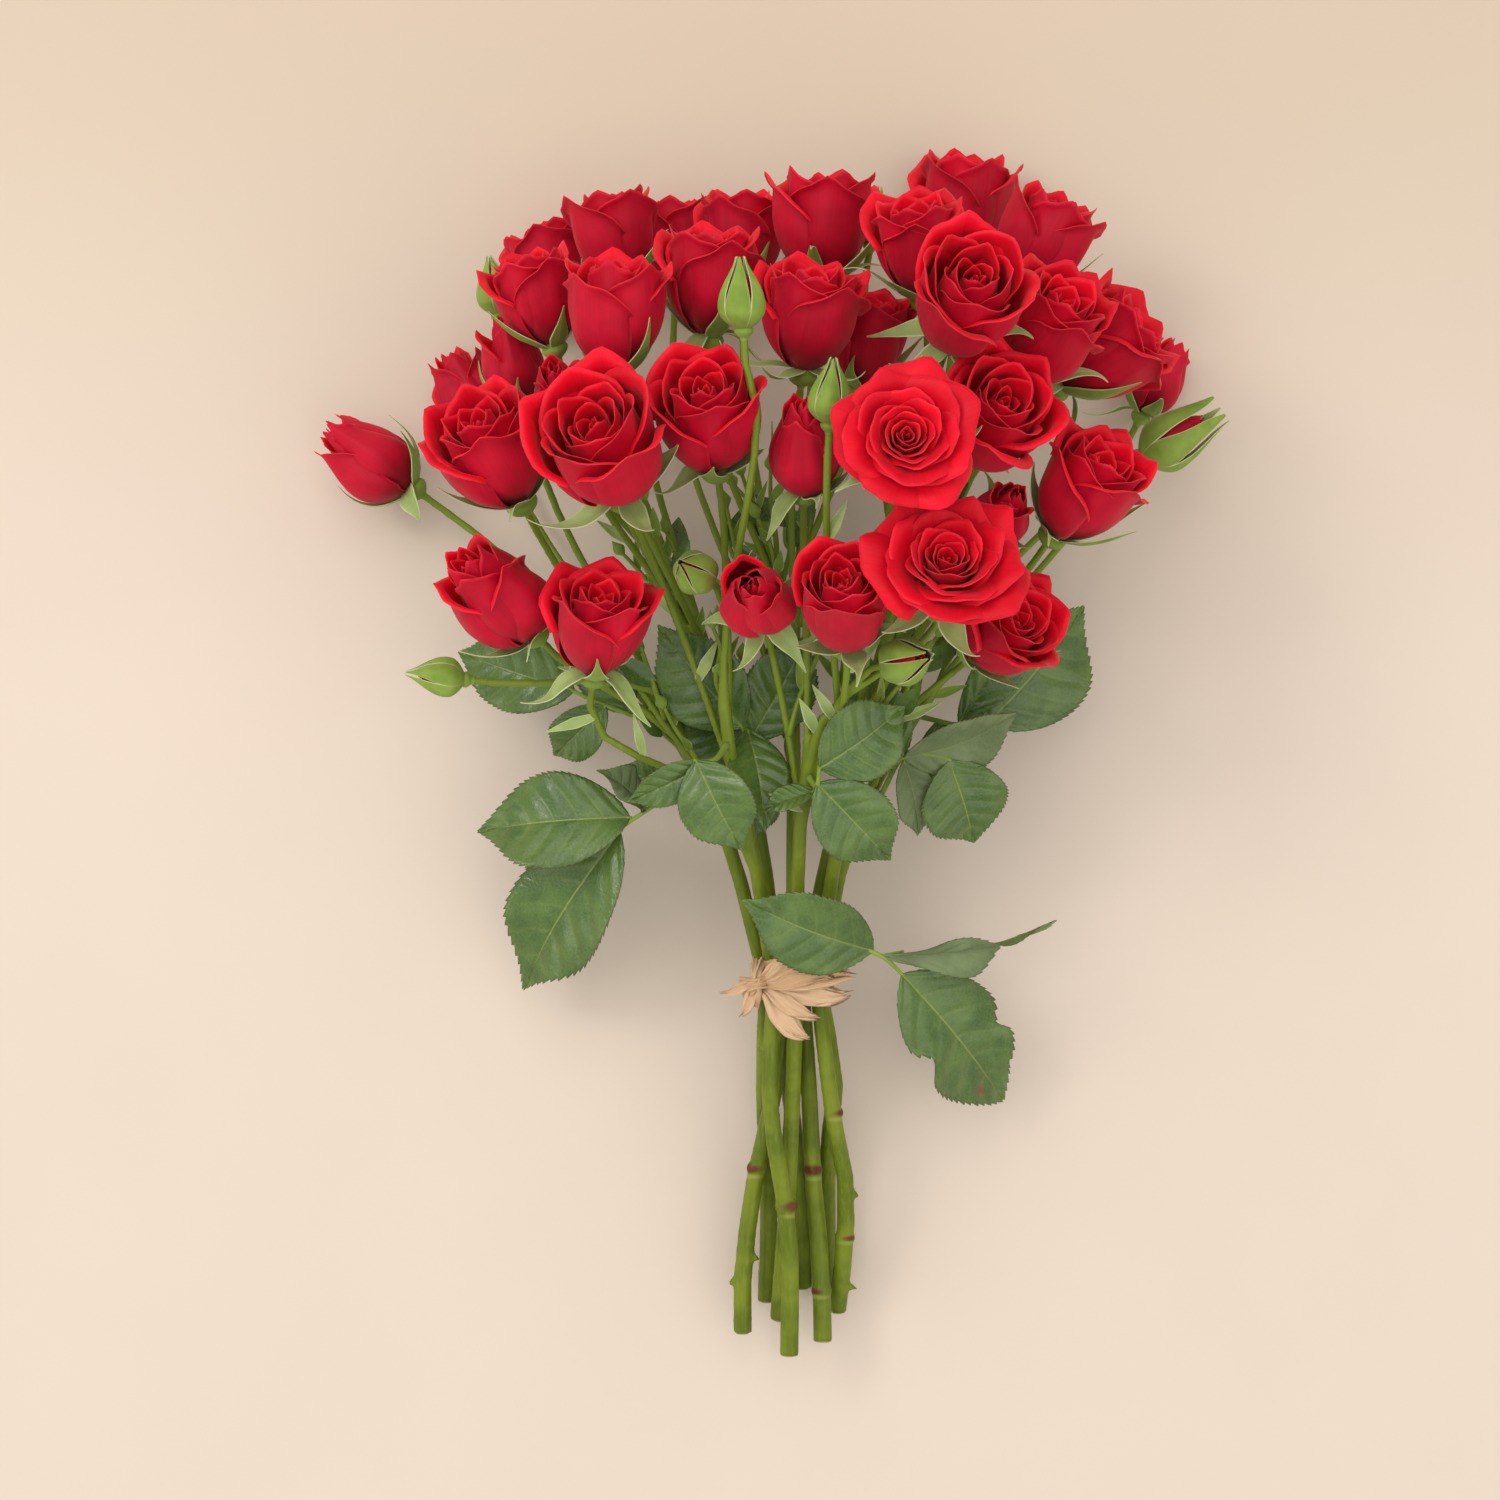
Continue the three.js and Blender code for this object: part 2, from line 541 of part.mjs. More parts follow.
// A round rod through a chain's points, a little fatter by the given margin.
function rod(chain, sides, margin = 0) {
  const rings = chain.length;
  const tangents = chain.map((_, i) => {
    const before = chain[Math.max(0, i - 1)].at;
    const after = chain[Math.min(rings - 1, i + 1)].at;
    return after.clone().sub(before).normalize();
  });
  const start = new THREE.Vector3(0.13, 0.21, 0.97).cross(tangents[0]).normalize();
  const places = [];
  const corners = [];
  chain.forEach(({ at, radius }, i) => {
    start.addScaledVector(tangents[i], -start.dot(tangents[i])).normalize();
    for (let k = 0; k < sides; k++) {
      const spoke = start.clone().applyAxisAngle(tangents[i], (2 * Math.PI * k) / sides);
      places.push(...at.clone().addScaledVector(spoke, radius + margin).toArray());
    }
  });
  const ends = [chain[0], chain[rings - 1]].map(({ at }, end) =>
    at.clone().addScaledVector(tangents[end ? rings - 1 : 0], end ? margin : -margin),
  );
  ends.forEach((at) => places.push(...at.toArray()));
  for (let k = 0; k < sides; k++) {
    const next = (k + 1) % sides;
    for (let i = 0; i < rings - 1; i++) {
      const [a, b] = [i * sides + k, i * sides + next];
      corners.push(a, b, a + sides, b, b + sides, a + sides);
    }
    const last = (rings - 1) * sides;
    corners.push(rings * sides, next, k);
    corners.push(rings * sides + 1, last + k, last + next);
  }
  const geometry = new THREE.BufferGeometry();
  geometry.setAttribute("position", new THREE.Float32BufferAttribute(places, 3));
  geometry.setIndex(corners);
  return solid(geometry);
}

// A flower turned from its outline, with the hip under its petals.
function flowerSolid({ kind, radius, length, hip, axis, at }, margin = 0) {
  const grown = radius + margin;
  const outline = [
    [0, -0.5 * length - hip - margin],
    [HIP_RADIUS * radius + margin, -0.5 * length - 0.62 * hip],
    ...KINDS[kind].outline.map(([r, up]) => [r * grown, (up - 0.5) * (length + 2 * margin)]),
  ];
  const lathe = new THREE.LatheGeometry(
    outline.map(([r, up]) => new THREE.Vector2(r, up)),
    FLOWER_SIDES,
  );
  const turn = new THREE.Quaternion().setFromUnitVectors(new THREE.Vector3(0, 1, 0), axis);
  lathe.applyQuaternion(turn).translate(at.x, at.y, at.z);
  return solid(lathe);
}

// A leaflet as a thin plate, folded along its middle and arched from base to tip.
function leafletSolid({ base, tip, face, width, cup, arch }) {
  const [from, to] = [vec(base), vec(tip)];
  const run = to.clone().sub(from);
  const side = run.clone().cross(unit(face)).normalize();
  const up = side.clone().cross(run).normalize();
  const places = [];
  const corners = [];
  for (let layer = 0; layer < 2; layer++) {
    for (let i = 0; i <= LEAFLET_STEPS; i++) {
      const t = i / LEAFLET_STEPS;
      const half = Math.max(0.9, 0.5 * width * LEAF_SCALE * Math.sin(Math.PI * t ** 0.85) ** 0.8);
      for (const s of [-1, 0, 1]) {
        const lift = arch * Math.sin(Math.PI * t) + cup * half * Math.abs(s);
        const at = from
          .clone()
          .addScaledVector(run, t)
          .addScaledVector(side, s * half)
          .addScaledVector(up, lift + (layer - 0.5) * LEAF_THICKNESS);
        places.push(...at.toArray());
      }
    }
  }
  const layerSize = 3 * (LEAFLET_STEPS + 1);
  const quad = (a, b, c, d) => corners.push(a, b, c, a, c, d);
  for (let i = 0; i < LEAFLET_STEPS; i++) {
    for (let s = 0; s < 2; s++) {
      const [a, b, c, d] = [3 * i + s, 3 * i + s + 1, 3 * i + s + 4, 3 * i + s + 3];
      quad(d, c, b, a);
      quad(a + layerSize, b + layerSize, c + layerSize, d + layerSize);
    }
    const [left, right] = [3 * i, 3 * i + 2];
    quad(left, left + layerSize, left + 3 + layerSize, left + 3);
    quad(right, right + 3, right + 3 + layerSize, right + layerSize);
  }
  const end = 3 * LEAFLET_STEPS;
  for (const s of [0, 1]) {
    quad(s + 1, s + 1 + layerSize, s + layerSize, s);
    quad(end + s, end + s + layerSize, end + s + 1 + layerSize, end + s + 1);
  }
  const geometry = new THREE.BufferGeometry();
  geometry.setAttribute("position", new THREE.Float32BufferAttribute(places, 3));
  geometry.setIndex(corners);
  return solid(geometry);
}

// The point of a cane's chain at a height along the bunch.
function caneAt(cane, along) {
  const i = Math.max(1, cane.findIndex((p) => p.at.y > along));
  const [a, b] = [cane[i - 1], cane[i]];
  const t = (along - a.at.y) / (b.at.y - a.at.y);
  return { at: a.at.clone().lerp(b.at, t), radius: mix(a.radius, b.radius, t) };
}

function leafSolid({ cane, along, stalk, leaflets }, stems) {
  const foot = caneAt(stems[cane - 1].chains[0], along);
  const way = vec(stalk[0]).sub(foot.at).normalize();
  foot.at.addScaledVector(way, foot.radius + GAP + LEAF_STALK_RADIUS);
  const chain = [foot.at, ...stalk.map(vec)].map((at) => point(at, LEAF_STALK_RADIUS));
  return leaflets.reduce(
    (made, row) => made.add(leafletSolid(row)),
    rod(chain, LEAF_STALK_SIDES),
  );
}

// Raffia wound round all canes, with its knot and flattened ends.
function tieSolid() {
  const inner = TIE_SLOT_RING + CANE_END_RADIUS + GAP;
  const outer = inner + TIE_THICKNESS;
  const band = new THREE.LatheGeometry(
    [
      [inner, -0.5 * TIE_WIDTH],
      [outer, -0.38 * TIE_WIDTH],
      [outer, 0.38 * TIE_WIDTH],
      [inner, 0.5 * TIE_WIDTH],
      [inner, -0.5 * TIE_WIDTH],
    ].map(([r, y]) => new THREE.Vector2(r, y)),
    TIE_SIDES,
  );
  let made = solid(band);
  const knot = new THREE.SphereGeometry(1, 8, 5).scale(...KNOT.radii).translate(...KNOT.at);
  made = made.add(solid(knot));
  for (const { to, width, thickness } of RAFFIA_ENDS) {
    const outline = new THREE.Shape();
    const run = vec(to).sub(vec(KNOT.at));
    const length = run.length();
    outline.moveTo(0, -0.2 * width);
    outline.lineTo(0.7 * length, -0.5 * width);
    outline.lineTo(length, -0.3 * width);
    outline.lineTo(length, 0.3 * width);
    outline.lineTo(0.7 * length, 0.5 * width);
    outline.lineTo(0, 0.2 * width);
    const strip = new THREE.ExtrudeGeometry(outline, { depth: thickness, bevelEnabled: false });
    strip.translate(0, 0, -0.5 * thickness);
    const x = run.clone().normalize();
    const y = new THREE.Vector3(0, 0, 1).cross(x).normalize();
    const z = x.clone().cross(y);
    strip.applyMatrix4(new THREE.Matrix4().makeBasis(x, y, z).setPosition(...KNOT.at));
    made = made.add(solid(strip));
  }
  return made.translate(TIE_MIDDLE);
}

// ---- The bunch --------------------------------------------------------------

const flowers = FLOWERS.map(makeFlower);
const stems = CANES.map((row, i) => {
  const cane = makeCane(row);
  const own = flowers.filter((flower) => flower.cane === i + 1);
  const step = FORK_SPACING / CANE_STEP;
  const chains = own.map((flower, k) => {
    const from = Math.round(cane.length - 1 - (own.length - 1 - k) * step);
    const stalk = makeStalk(cane, from, flower);
    flower.tail = stalk.slice(-2);
    flower.tail.forEach((p) => {
      p.hold = 1;
      p.flower = flower;
    });
    return stalk;
  });
  return { chains: [cane, ...chains] };
});
settle(stems, flowers);

const stemSolid = ({ chains: [cane, ...stalks] }, margin = 0) =>
  stalks.reduce(
    (made, stalk) => made.add(rod(stalk, STALK_SIDES, margin)),
    rod(cane, CANE_SIDES, margin),
  );

// Pieces are cut in this order: a later one gives way to all the earlier ones.
const made = [];
function place(name, body, grown, colour, roughness) {
  let left = body;
  for (const earlier of made) {
    if (earlier.grown && left.intersect(earlier.grown).volume() > 0) {
      left = left.subtract(earlier.grown);
    }
  }
  const kept = largest(left.simplify(FINEST));
  made.push({ name, body: kept, grown, colour, roughness });
}

const STEM_GREEN = 0x5f7f2c;
const LEAF_GREEN = 0x3a6130;
const BUD_GREEN = 0x7d9c45;
const ROSE_RED = 0xb8101c;
const RAFFIA = 0xdcb184;

stems.forEach((stem, i) =>
  place(`stem_${i + 1}`, stemSolid(stem), stemSolid(stem, GAP), STEM_GREEN, 0.55),
);
const counts = {};
for (const flower of flowers) {
  counts[flower.kind] = (counts[flower.kind] ?? 0) + 1;
  const colour = flower.kind === "green_bud" ? BUD_GREEN : ROSE_RED;
  const name = `${flower.kind}_${counts[flower.kind]}`;
  place(name, flowerSolid(flower), flowerSolid(flower, GAP), colour, 0.7);
}
LEAVES.forEach((leaf, i) => {
  const body = leafSolid(leaf, stems);
  place(`leaf_${i + 1}`, body, body, LEAF_GREEN, 0.45);
});
place("raffia_tie", tieSolid(), null, RAFFIA, 0.8);

// The origin is under the middle of the whole bunch, on the table.
const extent = new THREE.Box3();
for (const { body } of made) {
  const { min, max } = body.boundingBox();
  extent.expandByPoint(vec(min)).expandByPoint(vec(max));
}
const bunch = new THREE.Group();
for (const { name, body, colour, roughness } of made) {
  const material = new THREE.MeshStandardMaterial({ color: colour, roughness, metalness: 0 });
  const mesh = new THREE.Mesh(surface(body), material);
  mesh.name = name;
  bunch.add(mesh);
}
bunch.position.set(
  -0.5 * (extent.min.x + extent.max.x),
  -0.5 * (extent.min.y + extent.max.y),
  -extent.min.z,
);

export default bunch;
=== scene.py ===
# %% [markdown]
# # A tied bunch of red spray roses
#
# Spray roses carry several small blooms on one forked stem. Eight such stems are
# held by a twist of raffia, and the bunch has been laid on its back on a table.
# The solid model of the bunch is fixed and already says where each stem, bloom,
# leaf and tie is. This lesson dresses it: thin curled petals, green sepals, toothed
# leaves, waxy stems and fibrous raffia.
#
# Each step starts from one piece of the fixed model, measures it, and grows the
# fine shape in its place. Bracts and thin side shoots are too small to be in the
# model, so those two are added at the end. The model is in metres, and garden sizes
# are easier to think of in millimetres, so shapes are made in millimetres and scaled
# when they become meshes.

# %% Open the solid model
import math
from itertools import combinations

import bmesh
import bpy
import numpy as np
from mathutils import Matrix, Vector


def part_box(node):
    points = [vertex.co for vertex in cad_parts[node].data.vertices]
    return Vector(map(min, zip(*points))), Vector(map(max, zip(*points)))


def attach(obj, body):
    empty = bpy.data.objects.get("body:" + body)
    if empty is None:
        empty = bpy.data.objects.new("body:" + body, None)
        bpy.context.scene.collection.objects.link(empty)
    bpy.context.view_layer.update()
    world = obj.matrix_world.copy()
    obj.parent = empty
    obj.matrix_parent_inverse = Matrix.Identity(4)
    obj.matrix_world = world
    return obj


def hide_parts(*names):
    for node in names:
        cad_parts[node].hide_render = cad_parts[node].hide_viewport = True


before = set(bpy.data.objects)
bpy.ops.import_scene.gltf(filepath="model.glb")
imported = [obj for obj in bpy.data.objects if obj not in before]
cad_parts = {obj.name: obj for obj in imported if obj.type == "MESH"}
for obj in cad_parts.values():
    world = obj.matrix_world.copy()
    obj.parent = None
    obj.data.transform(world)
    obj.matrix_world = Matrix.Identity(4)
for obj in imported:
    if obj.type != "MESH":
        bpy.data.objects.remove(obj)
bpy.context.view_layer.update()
MM = 0.001
print("pieces in the model:", len(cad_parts))

# %% [markdown]
# ## Where things are
#
# The leaves and the raffia are described below in the gardener's own frame: the
# middle of the tie is above the origin, x runs across the bunch, y towards the
# blooms and z up from the table. The model's origin is under the middle of its box
# instead, so one shift takes one frame to the other. The raffia's box gives it.

# %% The shift between the two frames
TIE_BOX = (np.array([-27.86, -22.83, 24.60]), np.array([28.35, 15.71, 64.13]))
tie_low, tie_high = (np.array(corner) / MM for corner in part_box("raffia_tie"))
SHIFT = 0.5 * (tie_low + tie_high - TIE_BOX[0] - TIE_BOX[1])
print("shift in millimetres:", SHIFT.round(2))
print("size differences:", (tie_high - tie_low - TIE_BOX[1] + TIE_BOX[0]).round(2))

# %% [markdown]
# ## The camera
#
# The front of the bunch looks up, because it lies on its back. So the camera hangs
# straight above the table, with the blooms at the top of the frame. It is far away
# and uses a long lens, so near and far blooms keep nearly the same size.

# %% Hang the camera above the table
CAMERA_OVER = (-14.0, 94.0, 1400.0)
LENS = 80.4
SENSOR = 36.0
FARTHEST_SEEN = 20.0  # metres

camera = bpy.data.objects.new("camera", bpy.data.cameras.new("camera"))
camera.data.lens = LENS
camera.data.sensor_width = SENSOR
camera.data.clip_end = FARTHEST_SEEN
camera.location = (np.array(CAMERA_OVER) + SHIFT) * MM
bpy.context.collection.objects.link(camera)
bpy.context.scene.camera = camera
bpy.context.scene.view_settings.view_transform = "Standard"
print("camera at", tuple(round(x, 3) for x in camera.location))

# %% [markdown]
# ## Tools for thin curved sheets
#
# Petals, sepals, leaflets and raffia are all thin sheets. Each is laid out here as
# a grid of points: rows run from its foot to its tip, columns from one side to the
# other. Building the grid in code, rather than by pushing points about by hand,
# lets one recipe grow hundreds of petals that all differ a little.
#
# Every point also carries marks, such as how far along the petal it is. The
# finishes read these marks, so a colour can follow the growth of the petal
# wherever it ends up in space.


# %% A heap of grids that becomes one mesh
TABLE_REST = 0.8  # the lowest a sheet may lie, so that its thickness clears the table
PRESSED = 0.02  # the share of its height that a point below that keeps


def write_marks(mesh, marks):
    for name, values in marks.items():
        layer = mesh.attributes.new(name, "FLOAT", "POINT")
        layer.data.foreach_set("value", values)


class Sheets:
    def __init__(self):
        self.places, self.faces, self.finishes, self.marks = [], [], [], {}
        self.count = 0

    def add(self, grid, finish=0, wrapped=False, **marks):
        rows, columns = grid.shape[:2]
        number = self.count + np.arange(rows * columns).reshape(rows, columns)
        if wrapped:
            number = np.hstack([number, number[:, :1]])
        quads = np.stack(
            [number[:-1, :-1], number[:-1, 1:], number[1:, 1:], number[1:, :-1]],
            axis=-1,
        ).reshape(-1, 4)
        self.places.append(grid.reshape(-1, 3))
        self.faces.append(quads)
        self.finishes.append(np.full(len(quads), finish))
        for name, values in marks.items():
            flat = np.broadcast_to(values, (rows, columns)).reshape(-1)
            self.marks.setdefault(name, []).append(flat)
        self.count += rows * columns

    def build(self, name, finishes):
        places = np.concatenate(self.places)
        # Whatever would dip under the table lies flat on it instead.
        height = places[:, 2]
        flat = TABLE_REST + PRESSED * height
        places[:, 2] = np.where(height < TABLE_REST, flat, height)
        places = places * MM
        faces = np.concatenate(self.faces)
        mesh = bpy.data.meshes.new(name)
        mesh.vertices.add(len(places))
        mesh.vertices.foreach_set("co", places.ravel())
        mesh.loops.add(faces.size)
        mesh.loops.foreach_set("vertex_index", faces.ravel())
        mesh.polygons.add(len(faces))
        mesh.polygons.foreach_set("loop_start", np.arange(0, faces.size, 4))
        for finish in finishes:
            mesh.materials.append(finish)
        mesh.polygons.foreach_set("material_index", np.concatenate(self.finishes))
        write_marks(mesh, {k: np.concatenate(v) for k, v in self.marks.items()})
        mesh.update(calc_edges=True)
        mesh.validate()
        mesh.shade_smooth()
        piece = bpy.data.objects.new(name, mesh)
        bpy.context.collection.objects.link(piece)
        return piece


def thicken(piece, thickness, offset=0.0, back=0, rim=0):
    solidify = piece.modifiers.new("thickness", "SOLIDIFY")
    solidify.thickness = thickness * MM
    solidify.offset = offset
    solidify.material_offset = back
    solidify.material_offset_rim = rim
    return piece


def soften(piece, levels=1):
    rounder = piece.modifiers.new("rounder", "SUBSURF")
    rounder.levels = levels
    rounder.render_levels = levels
    return piece


# %% Rows and columns, easing, smooth paths and turned frames
def rows_of(count):
    """From 0 at the foot of a sheet to 1 at its tip."""
    return np.linspace(0.0, 1.0, count)[:, None]


def columns_of(count):
    """From -1 at one side of a sheet to 1 at the other."""
    return np.linspace(-1.0, 1.0, count)[None, :]


def ease(x):
    x = np.clip(x, 0.0, 1.0)
    return x * x * (3.0 - 2.0 * x)


def unit(v):
    v = np.asarray(v, float)
    return v / np.linalg.norm(v)


def smooth_path(points, count):
    """Points on a smooth curve that passes through all the given ones."""
    p = np.asarray(points, float)
    p = np.vstack([2 * p[0] - p[1], p, 2 * p[-1] - p[-2]])
    place = np.linspace(0, len(points) - 1, count)
    i = np.minimum(place.astype(int), len(points) - 2)
    f = (place - i)[:, None]
    a, b, c, d = p[i], p[i + 1], p[i + 2], p[i + 3]
    return 0.5 * (
        2 * b
        + (c - a) * f
        + (2 * a - 5 * b + 4 * c - d) * f**2
        + (3 * b - a - 3 * c + d) * f**3
    )


def frame_on(axis, spin=0.0):
    """Three columns: two directions across the axis, then the axis."""
    axis = unit(axis)
    helper = [0.0, 0.0, 1.0] if abs(axis[2]) < 0.9 else [0.0, 1.0, 0.0]
    side = unit(np.cross(helper, axis))
    up = np.cross(axis, side)
    c, s = math.cos(spin), math.sin(spin)
    return np.column_stack([c * side + s * up, c * up - s * side, axis])


# %% A round tube along a path, for stalks
def tube(path, radii, sides=10):
    path = np.asarray(path, float)
    radii = np.broadcast_to(radii, len(path))
    tangents = np.gradient(path, axis=0)
    tangents /= np.linalg.norm(tangents, axis=1)[:, None]
    spoke = unit(np.cross(tangents[0], [0.31, 0.17, 0.94]))
    turns = np.linspace(0, 2 * math.pi, sides, endpoint=False)
    rings = []
    for at, along, radius in zip(path, tangents, radii):
        spoke = unit(spoke - along * (spoke @ along))
        other = np.cross(along, spoke)
        ring = np.outer(np.cos(turns), spoke) + np.outer(np.sin(turns), other)
        rings.append(at + radius * ring)
    first = np.repeat(path[:1], sides, axis=0)
    last = np.repeat(path[-1:], sides, axis=0)
    return np.stack([first, *rings, last])


# %% [markdown]
# ## Finishes
#
# Every finish is a small node tree. The same few steps come back in all of them:
# read a mark or a place, turn it into a soft pattern, and mix two colours with it.
# Short helpers keep each finish readable.


# %% Helpers that build node trees
class Finish:
    def __init__(self, name, roughness=0.5, **constants):
        self.material = bpy.data.materials.new(name)
        self.material.use_nodes = True
        self.tree = self.material.node_tree
        self.shader = self.tree.nodes["Principled BSDF"]
        self.shader.inputs["Roughness"].default_value = roughness
        for socket, value in constants.items():
            self.shader.inputs[socket.replace("_", " ")].default_value = value

    def node(self, kind, **settings):
        made = self.tree.nodes.new(kind)
        for key, value in settings.items():
            setattr(made, key, value)
        return made

    def join(self, start, end):
        self.tree.links.new(start, end)
        return end

    def mark(self, name):
        return self.node("ShaderNodeAttribute", attribute_name=name).outputs["Fac"]

    def place(self):
        return self.node("ShaderNodeTexCoord").outputs["Object"]

    def feed(self, sockets, values):
        """Joins what comes from a node, and sets what is a number or a colour."""
        for socket, value in zip(sockets, values):
            if hasattr(value, "links"):
                self.join(value, socket)
            elif isinstance(value, tuple):
                socket.default_value = (*value, 1.0)
            else:
                socket.default_value = value

    def sum(self, kind, a, b=0.0, c=0.0):
        made = self.node("ShaderNodeMath", operation=kind)
        self.feed(made.inputs, (a, b, c))
        return made.outputs[0]

    def lengthwise(self, across, along, tone):
        """The place on a sheet, scaled so that noise over it becomes long streaks."""
        made = self.node("ShaderNodeCombineXYZ")
        scales = {"across": across, "along": along, "tone": tone}
        parts = [self.sum("MULTIPLY", self.mark(m), by) for m, by in scales.items()]
        self.feed(made.inputs, parts)
        return made.outputs[0]

    def noise(self, where, scale, detail=3.0, roughness=0.55):
        made = self.node("ShaderNodeTexNoise")
        made.inputs["Scale"].default_value = scale
        made.inputs["Detail"].default_value = detail
        made.inputs["Roughness"].default_value = roughness
        self.join(where, made.inputs["Vector"])
        return made.outputs["Fac"]

    def cells(self, where, scale):
        made = self.node("ShaderNodeTexVoronoi", feature="DISTANCE_TO_EDGE")
        made.inputs["Scale"].default_value = scale
        self.join(where, made.inputs["Vector"])
        return made.outputs["Distance"]

    def between(self, value, low, high, to_low=0.0, to_high=1.0):
        made = self.node("ShaderNodeMapRange", interpolation_type="SMOOTHSTEP")
        self.feed(made.inputs, (value, low, high, to_low, to_high))
        return made.outputs[0]

    def mix(self, share, a, b):
        made = self.node("ShaderNodeMix", data_type="RGBA")
        self.feed((made.inputs[0], made.inputs[6], made.inputs[7]), (share, a, b))
        return made.outputs[2]

    def colour(self, value):
        self.join(value, self.shader.inputs["Base Color"])
        return self

    def rough(self, value):
        self.join(value, self.shader.inputs["Roughness"])
        return self

    def relief(self, height, depth, strength=1.0):
        made = self.node("ShaderNodeBump")
        made.inputs["Strength"].default_value = strength
        made.inputs["Distance"].default_value = depth * MM
        self.join(height, made.inputs["Height"])
        self.join(made.outputs[0], self.shader.inputs["Normal"])
        return self


# %% [markdown]
# ### Rose petals
#
# A red rose petal is two finishes in one sheet, and its cut edge has a third. The
# inner face, which the bloom shows as it opens, is a clear scarlet velvet. The outer
# face is duller and more crimson, and darkest at its foot. That darkening towards
# the foot, on both faces, is painted shade for the depth of the bloom. Fine veins
# fan out from foot to rim. The rim itself is thinner, and its lighter colour is a
# painted highlight, as is the lighter red of the cut edge. Light goes some way into
# a petal, so a little subsurface colour keeps the folds from going black.


# %% Petal finishes, inner and outer
# foot is a painted shade colour for the petal's foot, and rim is a painted highlight
# colour for its edge.
def petal_finish(name, foot, body, rim, roughness):
    look = Finish(
        name,
        roughness=roughness,
        Sheen_Weight=0.16,
        Sheen_Roughness=0.40,
        Sheen_Tint=(1.0, 0.34, 0.38, 1.0),
        Specular_IOR_Level=0.18,
        Subsurface_Weight=0.14,
        Subsurface_Scale=0.0016,
        Subsurface_Radius=(1.0, 0.12, 0.08),
    )
    veins = look.noise(look.lengthwise(26.0, 2.2, 53.0), 1.0, detail=4.0)
    clouds = look.noise(look.lengthwise(1.0, 2.0, 1.0), 1.6, detail=2.0)
    # Painted shade: the petal turns darker towards its foot, as if the bloom shaded it
    # there.
    colour = look.mix(look.between(look.mark("along"), 0.05, 0.62), foot, body)
    # Painted highlight: the rim turns lighter, as if its thin edge caught the light.
    colour = look.mix(look.between(look.mark("edge"), 0.72, 1.0), colour, rim)
    shade = look.sum("MULTIPLY_ADD", look.between(veins, 0.3, 0.7), 0.09, 0.74)
    shade = look.sum("MULTIPLY_ADD", look.between(clouds, 0.3, 0.7), 0.22, shade)
    shade = look.sum("MULTIPLY_ADD", look.mark("tone"), 0.14, shade)
    hue = look.node("ShaderNodeHueSaturation")
    look.join(shade, hue.inputs["Value"])
    look.join(colour, hue.inputs["Color"])
    look.colour(hue.outputs[0])
    look.relief(veins, 0.08, 0.3)
    return look.material


PETAL_INNER = petal_finish(
    "petal_inner", (0.34, 0.001, 0.008), (0.80, 0.003, 0.020), (0.88, 0.010, 0.034), 0.50
)
PETAL_OUTER = petal_finish(
    "petal_outer", (0.24, 0.002, 0.012), (0.55, 0.003, 0.026), (0.74, 0.010, 0.038), 0.56
)
# The cut edge of the petal sheet is painted a lighter, pinker red: a painted highlight.
PETAL_RIM_HIGHLIGHT = petal_finish(
    "petal_rim_highlight", (0.40, 0.004, 0.016), (0.66, 0.014, 0.034), (0.74, 0.030, 0.050), 0.52
)
print("finishes:", PETAL_INNER.name, PETAL_OUTER.name, PETAL_RIM_HIGHLIGHT.name)

# %% [markdown]
# ### Sepals, buds and hips
#
# The five sepals under a rose are a fresh light green with pale woolly edges. Inside
# they are paler still. The same green covers the hip, the swollen cup under the
# petals that would become the fruit.


# %% Sepal finishes
def sepal_finish(name, body, shadow, edge):
    look = Finish(
        name,
        roughness=0.55,
        Sheen_Weight=0.06,
        Sheen_Roughness=0.5,
        Specular_IOR_Level=0.22,
        Subsurface_Weight=0.10,
        Subsurface_Scale=0.0012,
        Subsurface_Radius=(0.5, 1.0, 0.2),
    )
    blotch = look.noise(look.place(), 110.0, detail=4.0)
    streaks = look.noise(look.lengthwise(9.0, 2.0, 31.0), 1.0)
    colour = look.mix(look.between(blotch, 0.3, 0.7), shadow, body)
    colour = look.mix(look.between(look.mark("edge"), 0.62, 1.0), colour, edge)
    look.colour(colour)
    look.relief(streaks, 0.12, 0.6)
    return look.material


SEPAL_OUTER = sepal_finish(
    "sepal_outer", (0.26, 0.37, 0.058), (0.18, 0.285, 0.036), (0.56, 0.62, 0.30)
)
SEPAL_INNER = sepal_finish(
    "sepal_inner", (0.40, 0.50, 0.18), (0.29, 0.39, 0.12), (0.62, 0.68, 0.40)
)
print("finishes:", SEPAL_OUTER.name, SEPAL_INNER.name)

# %% [markdown]
# ### Leaves
#
# A rose leaf is leathery. Its upper side is a deep green with a satin gloss and a
# net of fine veins pressed into it, and its midrib is yellow-green. The underside is
# a matt grey-green. The teeth along the margin are tipped with red-brown.


# %% Leaf finishes
TOOTH_TIP = (0.11, 0.055, 0.022)
BLOTCH = (0.20, 0.045, 0.025)


def leaf_finish(name, dark, light, rib, roughness, gloss):
    look = Finish(name, Specular_IOR_Level=gloss)
    net = look.cells(look.place(), 620.0)
    clouds = look.noise(look.place(), 75.0, detail=3.0)
    colour = look.mix(look.between(clouds, 0.32, 0.68), dark, light)
    colour = look.mix(look.between(net, 0.0, 0.10, 0.16, 0.0), colour, rib)
    colour = look.mix(look.mark("vein"), colour, rib)
    margin = look.between(look.mark("edge"), 0.90, 1.0, 0.0, 0.75)
    colour = look.mix(margin, colour, TOOTH_TIP)
    colour = look.mix(look.mark("scar"), colour, BLOTCH)
    look.colour(colour)
    satin = look.noise(look.place(), 240.0, detail=2.0)
    look.rough(look.between(satin, 0.3, 0.7, roughness - 0.06, roughness + 0.08))
    look.relief(look.between(net, 0.0, 0.16), 0.06, 0.45)
    return look.material


